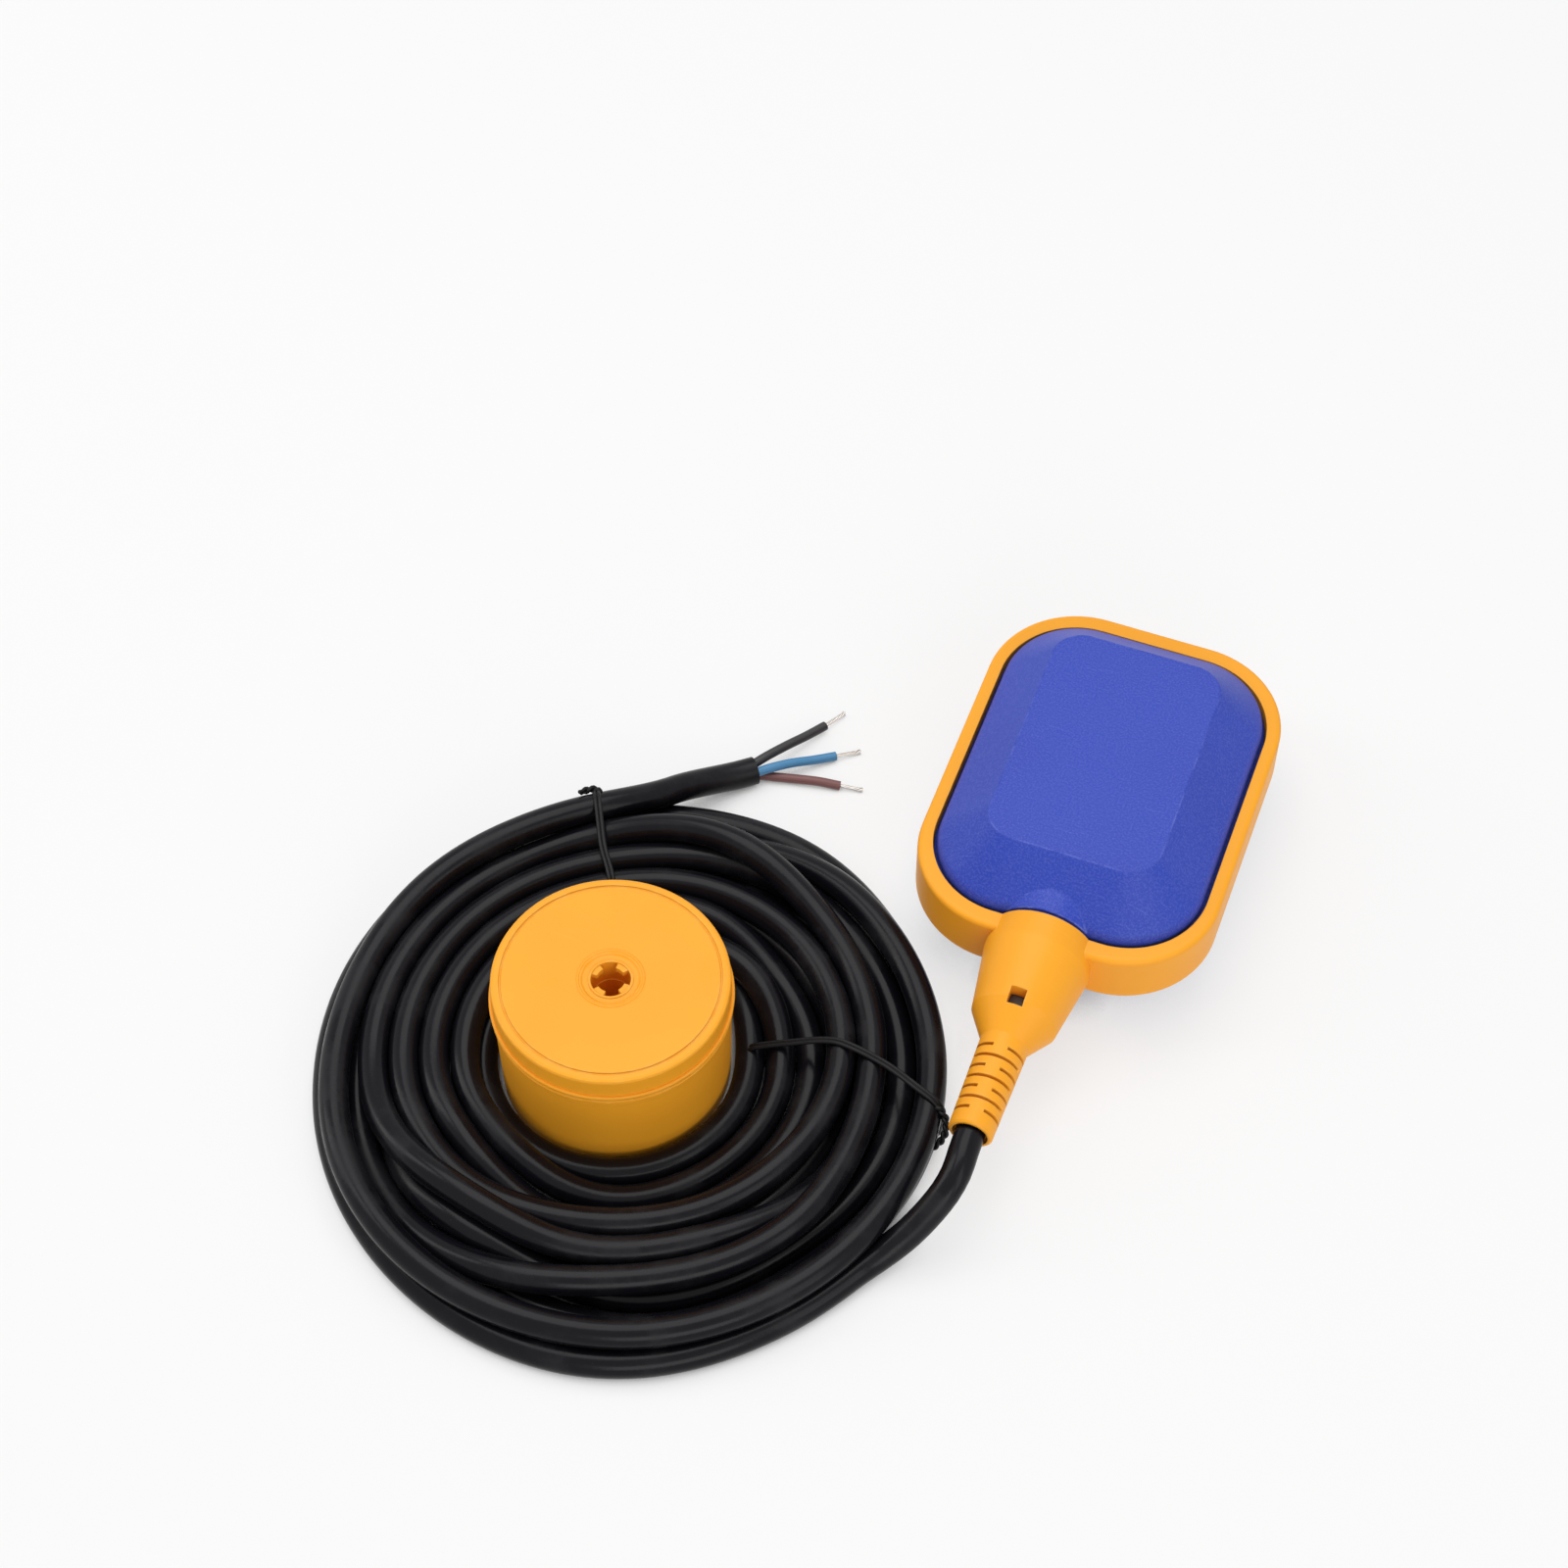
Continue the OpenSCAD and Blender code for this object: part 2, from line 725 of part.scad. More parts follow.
// Snap switch on its side, with a hollow for the button
module switch_body() {
    color(black)
        translate([0, 0, mid_z])
            difference() {
                translate([switch_x, switch_y - switch_l, -switch_t / 2])
                    cube([switch_w, switch_l, switch_t]);
                translate([switch_x - cut, button_y, 0])
                    rotate([0, 90, 0])
                        cylinder(r = button_r + button_fit, h = button_depth + cut);
                screw_places()
                    cylinder(r = screw_r + screw_fit, h = switch_t + cut, center = true);
                for (x = tab_x)
                    translate([x - tab_t / 2, tab_y - cut, -tab_w / 2])
                        cube([tab_t, tab_seat + cut, tab_w]);
            }
}

module switch_plunger() {
    color("#B23A34")
        translate([button_x, button_y, mid_z])
            rotate([0, 90, 0])
                cylinder(r = button_r, h = button_len);
}

module switch_screws() {
    color(steel)
        translate([0, 0, mid_z])
            screw_places()
                union() {
                    translate([0, 0, -channel_h])
                        cylinder(r = screw_r, h = channel_h + switch_t / 2);
                    translate([0, 0, switch_t / 2])
                        difference() {
                            cylinder(r = screw_head_r, h = screw_head_h);
                            translate([0, 0, screw_head_h])
                                cube([2 * screw_head_r + cut, screw_slot_w, screw_head_h], center = true);
                        }
                }
}

// A tab that is seated in the switch's end
module terminal(i) {
    color(brass)
        translate([tab_x[i] - tab_t / 2, tab_y - tab_l, mid_z - tab_w / 2])
            difference() {
                cube([tab_t, tab_l + tab_seat, tab_w]);
                translate([-cut, tab_hole_in, tab_w / 2])
                    rotate([0, 90, 0])
                        cylinder(r = tab_hole_r, h = tab_t + 2 * cut);
            }
}

module terminal_common() {
    terminal(0);
}

module terminal_closed() {
    terminal(1);
}

module terminal_open() {
    terminal(2);
}

// A core from the sheath's end to tab i. It runs straight until it is clear of the ledge, and
// then spreads: each step gives the shares of the way in X, Y and Z.
wire_steps = [[0, 0, 0], [0.25, 0.28, 0.1], [0.72, 0.56, 0.5], [1, 0.86, 1], [1, 1, 1]];

function wire_route(i) =
    let (
        a = 180 + 120 * i,
        start = [core_ring_r * cos(a), -entry_inner_y, mid_z + core_ring_r * sin(a)],
        bend = [start[0], ledge_w + 1 - neck_y0, start[2]],
        goal = [tab_x[i], tab_y - tab_l, mid_z],
        run = goal - bend
    )
    concat(
        [start],
        [for (f = wire_steps) bend + [run[0] * f[0], run[1] * f[1], run[2] * f[2]]]
    );

module wire_black() {
    color(black)
        tube(wire_route(0), core_d, 8);
}

module wire_blue() {
    color(core_blue_colour)
        tube(wire_route(1), core_d, 8);
}

module wire_brown() {
    color(core_brown_colour)
        tube(wire_route(2), core_d, 8);
}

module cable_lead() {
    color(black)
        tube(lead_route, cable_d, 12);
}

module cable_coil() {
    color(black)
        translate([coil_x, coil_y, coil_h / 2])
            rotate_extrude()
                translate([coil_in_r + coil_w / 2, 0])
                    rounded_rect(coil_w, coil_h, coil_edge);
}

module cable_tail() {
    color(black)
        tube(tail_route, cable_d, 12);
}

module core_black() {
    color(black)
        tube(core_black_route, core_d, 8);
}

module core_blue() {
    color(core_blue_colour)
        tube(core_blue_route, core_d, 8);
}

module core_brown() {
    color(core_brown_colour)
        tube(core_brown_route, core_d, 8);
}

// Bare strands from the end of a core, as a straight round bar
module strands(from, to) {
    d = to - from;
    color(steel)
        translate(from)
            rotate([0, acos(d[2] / norm(d)), atan2(d[1], d[0])])
                cylinder(r = strand_d / 2, h = norm(d));
}

module strands_black() {
    strands(core_black_route[4], strands_black_end);
}

module strands_blue() {
    strands(core_blue_route[4], strands_blue_end);
}

module strands_brown() {
    strands(core_brown_route[4], strands_brown_end);
}

// Loop of tie wire round the section of the coil, at an angle about the coil's centre
module tie(angle) {
    color(black)
        translate([coil_x, coil_y, 0])
            rotate([0, 0, angle])
                translate([coil_in_r + coil_w / 2, 0, (coil_h + tie_d) / 2])
                    rotate([90, 0, 0])
                        linear_extrude(height = tie_d, center = true)
                            difference() {
                                rounded_rect(coil_w + 2 * tie_d, coil_h + tie_d, coil_edge + tie_d);
                                rounded_rect(coil_w, coil_h - tie_d, coil_edge);
                            }
}

module tie_back() {
    tie(tie_back_angle);
}

module tie_right() {
    tie(tie_right_angle);
}

module at_weight() {
    translate([weight_x, weight_y, 0])
        children();
}

// Cup of the counterweight, with the tube for the cable in its middle
module weight_body() {
    foot_r = body_r - body_draft;
    collar_z = body_h - collar_h;
    color(yellow)
        at_weight()
            difference() {
                rotate_extrude()
                    polygon([
                        [0, 0], [foot_r - foot_chamfer, 0], [foot_r, foot_chamfer],
                        [body_r, collar_z], [cap_r, collar_z + 0.3],
                        [cap_r, body_h - lip_h], [weight_r, body_h - lip_h + 0.2],
                        [weight_r, body_h], [0, body_h]
                    ]);
                translate([0, 0, weight_wall])
                    difference() {
                        cylinder(r = cavity_r, h = body_h);
                        translate([0, 0, -cut])
                            cylinder(r = tube_r, h = body_h + 2 * cut);
                    }
                translate([0, 0, -cut])
                    cylinder(r = weight_bore_r, h = body_h + 2 * cut);
            }
}

// Teeth that stand into the cap's hole and steady the cable
module teeth_ring() {
    half = tooth_angle / 2;
    reach = cap_hole_r + hole_lip_w / 2;
    for (i = [0 : teeth - 1])
        rotate([0, 0, tooth_turn + i * 360 / teeth])
            linear_extrude(height = weight_wall - recess_depth)
                difference() {
                    polygon([
                        [0, 0], [reach * cos(half), -reach * sin(half)],
                        [reach, 0], [reach * cos(half), reach * sin(half)]
                    ]);
                    circle(cap_hole_r - tooth_h);
                }
}

// Lid of the counterweight, which plugs into the cup. Its hole lies in a shallow recess, and a
// fine ring line runs near its edge.
module weight_cap() {
    color(yellow)
        at_weight()
            translate([0, 0, body_h]) {
                difference() {
                    union() {
                        rotate_extrude()
                            polygon([
                                [0, 0], [weight_r, 0], [weight_r, lip_h - 0.2], [cap_r, lip_h],
                                [cap_r, cap_h - cap_edge], [cap_r - cap_edge * 0.3, cap_h - cap_edge * 0.3],
                                [cap_r - cap_edge, cap_h], [0, cap_h]
                            ]);
                        translate([0, 0, -plug_h])
                            cylinder(r = plug_r, h = plug_h + cut);
                    }
                    rotate_extrude()
                        polygon([
                            [plug_r - weight_wall, -plug_h - cut], [plug_r - weight_wall, cap_h - weight_wall],
                            [tube_r, cap_h - weight_wall], [tube_r, 0], [0, 0], [0, -plug_h - cut]
                        ]);
                    rotate_extrude()
                        translate([cap_r - ring_inset - ring_w, cap_h - ring_depth])
                            square([ring_w, ring_depth + cut]);
                    rotate_extrude()
                        polygon([
                            [0, cap_h - recess_depth + hole_lip_h],
                            [cap_hole_r + hole_lip_w, cap_h - recess_depth + hole_lip_h],
                            [cap_hole_r + hole_lip_w, cap_h - recess_depth],
                            [recess_r - recess_depth, cap_h - recess_depth],
                            [recess_r + cut, cap_h + cut], [0, cap_h + cut]
                        ]);
                    translate([0, 0, -cut])
                        cylinder(r = cap_hole_r, h = cap_h + 2 * cut);
                }
                translate([0, 0, cap_h - weight_wall])
                    teeth_ring();
            }
}

module ballast_ring() {
    color("#4A4A4C")
        at_weight()
            translate([0, 0, weight_wall])
                difference() {
                    cylinder(r = cavity_r - ballast_fit, h = ballast_h);
                    translate([0, 0, -cut])
                        cylinder(r = tube_r + ballast_fit, h = ballast_h + 2 * cut);
                }
}

float_frame();
upper_cover();
lower_cover();
cable_entry();
cable_clamp();
seal_grommet();
switch_housing();
housing_lid();
steel_ball();
trip_lever();
lever_pin();
switch_body();
switch_plunger();
switch_screws();
terminal_common();
terminal_closed();
terminal_open();
wire_black();
wire_blue();
wire_brown();
cable_lead();
cable_coil();
cable_tail();
core_black();
core_blue();
core_brown();
strands_black();
strands_blue();
strands_brown();
tie_back();
tie_right();
weight_body();
weight_cap();
ballast_ring();
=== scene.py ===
"""Looks of a cable float switch: flat float, coiled three-core cable and counterweight.

Every length is in metres in the row frame: the float lies flat at the origin, its neck points
towards -Y, and +Z is up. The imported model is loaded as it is. Its cable, cores, strands and ties
are replaced by modelled ones, and every other node gets a finish of its own.
"""

import logging
import math
from dataclasses import dataclass, field
from enum import Enum
from functools import cache
from typing import Iterable, Sequence

import bpy
import numpy as np
from bpy.types import Material, Node, NodeSocket, NodeTree, Object
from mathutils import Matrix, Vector


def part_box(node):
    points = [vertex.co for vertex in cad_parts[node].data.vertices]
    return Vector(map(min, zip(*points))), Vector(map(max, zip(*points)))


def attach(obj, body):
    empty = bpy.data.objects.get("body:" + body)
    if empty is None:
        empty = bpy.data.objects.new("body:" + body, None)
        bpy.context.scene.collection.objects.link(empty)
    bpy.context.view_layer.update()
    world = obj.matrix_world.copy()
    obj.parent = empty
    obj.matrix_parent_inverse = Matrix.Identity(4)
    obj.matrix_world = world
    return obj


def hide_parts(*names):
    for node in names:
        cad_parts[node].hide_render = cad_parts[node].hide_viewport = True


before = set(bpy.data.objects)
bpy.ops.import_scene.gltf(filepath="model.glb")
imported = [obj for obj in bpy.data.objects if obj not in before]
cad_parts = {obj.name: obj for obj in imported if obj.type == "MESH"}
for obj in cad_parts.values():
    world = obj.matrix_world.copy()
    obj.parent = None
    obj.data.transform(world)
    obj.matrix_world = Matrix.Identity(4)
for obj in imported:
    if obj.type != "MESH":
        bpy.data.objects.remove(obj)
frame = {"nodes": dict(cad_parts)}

LOG = logging.getLogger("float_switch")
MM = 0.001

# The middle of the counterweight, seen from above
WEIGHT_CENTRE = (-88.6 * MM, -100.5 * MM)

Colour = tuple[float, float, float]
Point = tuple[float, float, float]
# What feeds a shader node, by an input's name or number: a plain value or another node's output
Inputs = dict[str | int, object]


# Shader node groups


class Graph:
    """A small helper that adds and joins shader nodes in one node tree."""

    def __init__(self, tree: NodeTree) -> None:
        """Start with the node tree of a material or of a node group."""
        self.tree = tree

    def feed(self, node: Node, inputs: Inputs) -> None:
        """Set a node's inputs, or link them where the value is another node's output.

        Args:
            node: The node.
            inputs: The value of each input, by the input's name or number.
        """
        for key, value in inputs.items():
            if isinstance(value, NodeSocket):
                self.tree.links.new(value, node.inputs[key])
            else:
                node.inputs[key].default_value = value

    def node(self, kind: str, inputs: Inputs | None = None, **values: object) -> Node:
        """Add a node.

        Args:
            kind: The node's type name, without its ShaderNode part.
            inputs: What feeds its inputs.
            **values: Attributes of the node.

        Returns:
            The new node.
        """
        made = self.tree.nodes.new("ShaderNode" + kind)
        for name, value in values.items():
            setattr(made, name, value)
        self.feed(made, inputs or {})
        return made

    def math(self, operation: str, first: object, second: object = 0.0) -> NodeSocket:
        """Add a Math node that keeps its result between 0 and 1.

        Args:
            operation: The node's operation.
            first: Its first input.
            second: Its second input.

        Returns:
            The result's socket.
        """
        values = {0: first, 1: second}
        return self.node("Math", values, operation=operation, use_clamp=True).outputs[0]

    def noise(
        self, coordinates: object, scale: object, detail: float = 2.0, roughness: float = 0.5
    ) -> NodeSocket:
        """Add a noise texture.

        Args:
            coordinates: The place on the surface.
            scale: Its size, in cells per metre.
            detail: How many finer layers it has.
            roughness: How strong the finer layers are.

        Returns:
            The socket of its grey value.
        """
        values = {"Vector": coordinates, "Scale": scale, "Detail": detail, "Roughness": roughness}
        return self.node("TexNoise", values).outputs["Fac"]

    def ramp(
        self, value: object, low: float, high: float, to_low: float = 0.0, to_high: float = 1.0
    ) -> NodeSocket:
        """Stretch one range of a value to another, smoothly and clamped.

        Args:
            value: The value.
            low: Where the range starts.
            high: Where it ends.
            to_low: The result at its start.
            to_high: The result at its end.

        Returns:
            The result's socket.
        """
        values = {
            "Value": value, "From Min": low, "From Max": high, "To Min": to_low, "To Max": to_high
        }
        return self.node("MapRange", values, interpolation_type="SMOOTHSTEP").outputs["Result"]

    def mix(self, share: object, first: object, second: object) -> NodeSocket:
        """Mix two colours.

        Args:
            share: How much of the second colour shows.
            first: The first colour.
            second: The second colour.

        Returns:
            The colour's socket.
        """
        # The Mix node keeps its colour sockets behind those of its other data types
        values = {0: share, 6: first, 7: second}
        return self.node("Mix", values, data_type="RGBA").outputs[2]

    def place(self, tree: NodeTree, **values: float) -> Node:
        """Place a shared group.

        Args:
            tree: The group.
            **values: Values of its inputs, by name.

        Returns:
            The group node.
        """
        return self.node("Group", values, node_tree=tree)

    def bump(
        self,
        shader: Node,
        height: NodeSocket,
        strength: float,
        depth: float,
        normal: NodeSocket | None = None,
    ) -> None:
        """Feed a height into a shader's normal.

        Args:
            shader: The Principled shader.
            height: The height.
            strength: How much of it shows.
            depth: Its depth in metres.
            normal: The normal under it, where that isn't the mesh's own.
        """
        values = {"Strength": strength, "Distance": depth, "Height": height}
        if normal is not None:
            values["Normal"] = normal
        self.feed(shader, {"Normal": self.node("Bump", values).outputs["Normal"]})


def rgba(colour: Colour) -> tuple[float, float, float, float]:
    """A colour with its alpha."""
    return (colour[0], colour[1], colour[2], 1.0)


class Effect:
    """Builds the shared shader groups once and hands them out."""

    @staticmethod
    def start(
        name: str, inputs: dict[str, float], outputs: Sequence[str]
    ) -> tuple[Graph, Node, Node]:
        """Start a group.

        Args:
            name: The group's name.
            inputs: Name and first value of each input.
            outputs: Name of each output.

        Returns:
            The group's graph, and its input and output nodes.
        """
        tree = bpy.data.node_groups.new(name, "ShaderNodeTree")
        kind = "NodeSocketFloat"
        for label, value in inputs.items():
            socket = tree.interface.new_socket(label, in_out="INPUT", socket_type=kind)
            socket.default_value = value
        for label in outputs:
            tree.interface.new_socket(label, in_out="OUTPUT", socket_type=kind)
        return Graph(tree), tree.nodes.new("NodeGroupInput"), tree.nodes.new("NodeGroupOutput")

    @classmethod
    @cache
    def mould_grain(cls) -> NodeTree:
        """The fine orange-peel texture of a moulded surface.

        Returns:
            A group with Height and Mottle outputs.
        """
        graph, source, sink = cls.start("Mould grain", {"Scale": 1400.0}, ["Height", "Mottle"])
        place = graph.node("TexCoord").outputs["Object"]
        fine = graph.noise(place, source.outputs["Scale"], 3.0, 0.55)
        broad = graph.noise(place, 34.0, 2.0, 0.5)
        graph.feed(sink, {"Height": fine, "Mottle": graph.ramp(broad, 0.3, 0.72)})
        return graph.tree

    @classmethod
    @cache
    def rubbed_and_lit_edges(cls) -> NodeTree:
        """Pale edges, broken up by noise: partly edges that rub against other things, partly
        painted highlight lines.

        Returns:
            A group with an Edge output that is 1 on rubbed edges and on painted edge highlights.
        """
        graph, source, sink = cls.start("Rubbed and lit edges", {"Width": 0.0006, "Amount": 0.6}, ["Edge"])
        place = graph.node("TexCoord").outputs["Object"]
        rounded = graph.node("Bevel", {"Radius": source.outputs["Width"]}, samples=4)
        plain = graph.node("NewGeometry")
        normals = {0: rounded.outputs["Normal"], 1: plain.outputs["Normal"]}
        dot = graph.node("VectorMath", normals, operation="DOT_PRODUCT")
        # Painted highlight and rubbing alike: where the bevelled normal turns away from the flat
        # one, the edge is marked
        turned = graph.ramp(dot.outputs["Value"], 0.985, 0.82)
        broken = graph.ramp(graph.noise(place, 260.0, 3.0, 0.6), 0.42, 0.66)
        rubbed_and_lit = graph.math("MULTIPLY", turned, broken)
        graph.feed(sink, {"Edge": graph.math("MULTIPLY", rubbed_and_lit, source.outputs["Amount"])})
        return graph.tree

    @classmethod
    @cache
    def scratches(cls) -> NodeTree:
        """Long fine scuff lines that cross each other at two angles.

        Returns:
            A group with a Line output that is 1 in a scratch.
        """
        graph, source, sink = cls.start("Scratches", {"Amount": 0.5}, ["Line"])
        place = graph.node("TexCoord").outputs["Object"]
        lines: list[NodeSocket] = []
        for turn, stretch, seed in ((0.62, 26.0, 0.0), (-0.35, 34.0, 3.7), (1.25, 22.0, 8.1)):
            values = {
                "Vector": place, "Rotation": (0.0, 0.0, turn),
                "Location": (seed, seed * 0.4, 0.0), "Scale": (1.0, stretch, 1.0),
            }
            bent = graph.noise(graph.node("Mapping", values).outputs[0], 75.0, 1.0, 0.4)
            thin = graph.ramp(bent, 0.695, 0.735)
            patch = graph.ramp(graph.noise(place, 48.0 + seed, 1.0), 0.52, 0.62)
            lines.append(graph.math("MULTIPLY", thin, patch))
        both = graph.math("MAXIMUM", lines[0], lines[1])
        every = graph.math("MAXIMUM", both, lines[2])
        graph.feed(sink, {"Line": graph.math("MULTIPLY", every, source.outputs["Amount"])})
        return graph.tree

    @classmethod
    @cache
    def painted_crevice_shade(cls) -> NodeTree:
        """Painted shade that darkens narrow slots and grooves, where light is lost.

        Returns:
            A group with a Depth output that is 1 where the painted shade is full, deep in a slot.
        """
        graph, source, sink = cls.start("Painted crevice shade", {"Reach": 0.0014, "Amount": 1.0}, ["Depth"])
        reach = {"Distance": source.outputs["Reach"]}
        # Painted shade: the more closed in a point is within Reach, the darker it is drawn
        closed = graph.node("AmbientOcclusion", reach, samples=8, only_local=True)
        deep = graph.ramp(closed.outputs["AO"], 0.62, 0.2)
        graph.feed(sink, {"Depth": graph.math("MULTIPLY", deep, source.outputs["Amount"])})
        return graph.tree

    @classmethod
    @cache
    def handling(cls) -> NodeTree:
        """Faint smears and dust of handling.

        Returns:
            A group with Smear and Dust outputs.
        """
        graph, source, sink = cls.start("Handling", {"Amount": 0.4}, ["Smear", "Dust"])
        place = graph.node("TexCoord").outputs["Object"]
        smear = graph.ramp(graph.noise(place, 55.0, 4.0, 0.6), 0.45, 0.7)
        specks = graph.ramp(graph.noise(place, 1900.0, 1.0, 0.5), 0.7, 0.8)
        for name, share in (("Smear", smear), ("Dust", specks)):
            graph.feed(sink, {name: graph.math("MULTIPLY", share, source.outputs["Amount"])})
        return graph.tree


# Finishes


@dataclass(frozen=True)
class Finish:
    """What every finish shares: a name and a base colour."""

    name: str
    colour: Colour

    def start(self) -> tuple[Material, Graph, Node]:
        """Make an empty material with its shader.

        Returns:
            The material, its graph and its Principled shader.
        """
        material = bpy.data.materials.new(self.name)
        material.use_nodes = True
        shader = material.node_tree.nodes["Principled BSDF"]
        material.diffuse_color = rgba(self.colour)
        return material, Graph(material.node_tree), shader

    def build(self) -> Material:
        """Make the material."""
        raise NotImplementedError


@dataclass(frozen=True)
class MouldedPlastic(Finish):
    """Injection-moulded plastic: grain, faint mottling, scratches, rubbed edges and painted edge
    highlights.
    """

    deep: Colour
    pale: Colour
    roughness: float = 0.42
    specular: float = 0.45
    grain_scale: float = 1400.0
    grain_depth: float = 0.00004
    # Share of pale colour on edges: partly rubbed edges, partly painted highlight lines
    edge_rub_and_light: float = 0.25
    edge_width: float = 0.0006
    scratch: float = 0.0
    speckle: float = 0.0
    soft_edge: float = 0.0004
    # Colour of the painted shade in slots and grooves; None leaves them without it
    painted_slot_shade: Colour | None = None

    def build(self) -> Material:
        """Make the material.

        Returns:
            The material.
        """
        material, graph, shader = self.start()
        grain = graph.place(Effect.mould_grain(), Scale=self.grain_scale)
        edge = graph.place(Effect.rubbed_and_lit_edges(), Amount=self.edge_rub_and_light, Width=self.edge_width)
        marks = graph.place(Effect.scratches(), Amount=self.scratch)
        smears = graph.place(Effect.handling(), Amount=0.35)
        shade = graph.math("MULTIPLY", grain.outputs["Mottle"], 0.22)
        tone = graph.mix(shade, rgba(self.colour), rgba(self.deep))
        if self.speckle:
            dots = graph.ramp(grain.outputs["Height"], 0.4, 0.68)
            tone = graph.mix(graph.math("MULTIPLY", dots, self.speckle), tone, rgba(self.pale))
        # Pale marks: scratches, rubbed edges and painted highlight lines along edges
        rubbed_and_lit = graph.math("MAXIMUM", edge.outputs["Edge"], marks.outputs["Line"])
        tone = graph.mix(rubbed_and_lit, tone, rgba(self.pale))
        # Painted shade in slots and grooves
        if self.painted_slot_shade:
            slots = graph.place(Effect.painted_crevice_shade())
            tone = graph.mix(slots.outputs["Depth"], tone, rgba(self.painted_slot_shade))
        rough = graph.ramp(smears.outputs["Smear"], 0.0, 1.0, self.roughness, self.roughness + 0.16)
        look = {"Base Color": tone, "Roughness": rough, "Specular IOR Level": self.specular}
        graph.feed(shader, look)
        height = graph.math("SUBTRACT", grain.outputs["Height"], marks.outputs["Line"])
        rounded = graph.node("Bevel", {"Radius": self.soft_edge}, samples=6)
        graph.bump(shader, height, 0.5, self.grain_depth, rounded.outputs["Normal"])
        return material


@dataclass(frozen=True)
class CableRubber(Finish):
    """The black sheath of a cable: dusty smears, small pits and a soft sheen."""

    grey: Colour = (0.03, 0.03, 0.032)
    roughness: float = 0.42
    specular: float = 0.3
    pit_scale: float = 900.0

    def build(self) -> Material:
        """Make the material.

        Returns:
            The material.
        """
        material, graph, shader = self.start()
        grain = graph.place(Effect.mould_grain(), Scale=self.pit_scale)
        smears = graph.place(Effect.handling(), Amount=0.6)
        dusty = graph.math("MAXIMUM", smears.outputs["Smear"], smears.outputs["Dust"])
        share = graph.math("MULTIPLY", dusty, 0.5)
        tone = graph.mix(share, rgba(self.colour), rgba(self.grey))
        low, high = self.roughness - 0.05, self.roughness + 0.1
        rough = graph.ramp(smears.outputs["Smear"], 0.0, 0.6, low, high)
        look = {"Base Color": tone, "Roughness": rough, "Specular IOR Level": self.specular}
        graph.feed(shader, look)
        graph.bump(shader, grain.outputs["Height"], 0.35, 0.00005)
        return material


@dataclass(frozen=True)
class PlainMetal(Finish):
    """A metal with brushed or cast texture."""

    dark: Colour
    roughness: float = 0.3
    scale: float = 700.0
    depth: float = 0.00003

    def build(self) -> Material:
        """Make the material.

        Returns:
            The material.
        """
        material, graph, shader = self.start()
        grain = graph.place(Effect.mould_grain(), Scale=self.scale)
        smears = graph.place(Effect.handling(), Amount=0.5)
        share = graph.math("MULTIPLY", grain.outputs["Mottle"], 0.5)
        tone = graph.mix(share, rgba(self.colour), rgba(self.dark))
        rough = graph.ramp(smears.outputs["Smear"], 0.0, 1.0, self.roughness, self.roughness + 0.2)
        graph.feed(shader, {"Base Color": tone, "Roughness": rough, "Metallic": 1.0})
        graph.bump(shader, grain.outputs["Height"], 0.4, self.depth)
        return material


class Slot(Enum):
    """The record's material slots."""

    YELLOW = "yellow_moulding"
    BLUE = "blue_moulding"
    SHEATH = "cable_sheath"
    CLAMP = "clamp_plastic"
    SEAL = "seal_rubber"
    HOUSING = "housing_plastic"
    BALL = "polished_steel"
    STEEL = "plain_steel"
    SWITCH = "switch_plastic"
    BUTTON = "button_plastic"
    BRASS = "tab_brass"
    CORE_BLACK = "core_black"
    CORE_BLUE = "core_blue"
    CORE_BROWN = "core_brown"
    TINNED = "tinned_copper"
    TIE = "tie_wire"
    IRON = "ballast_iron"


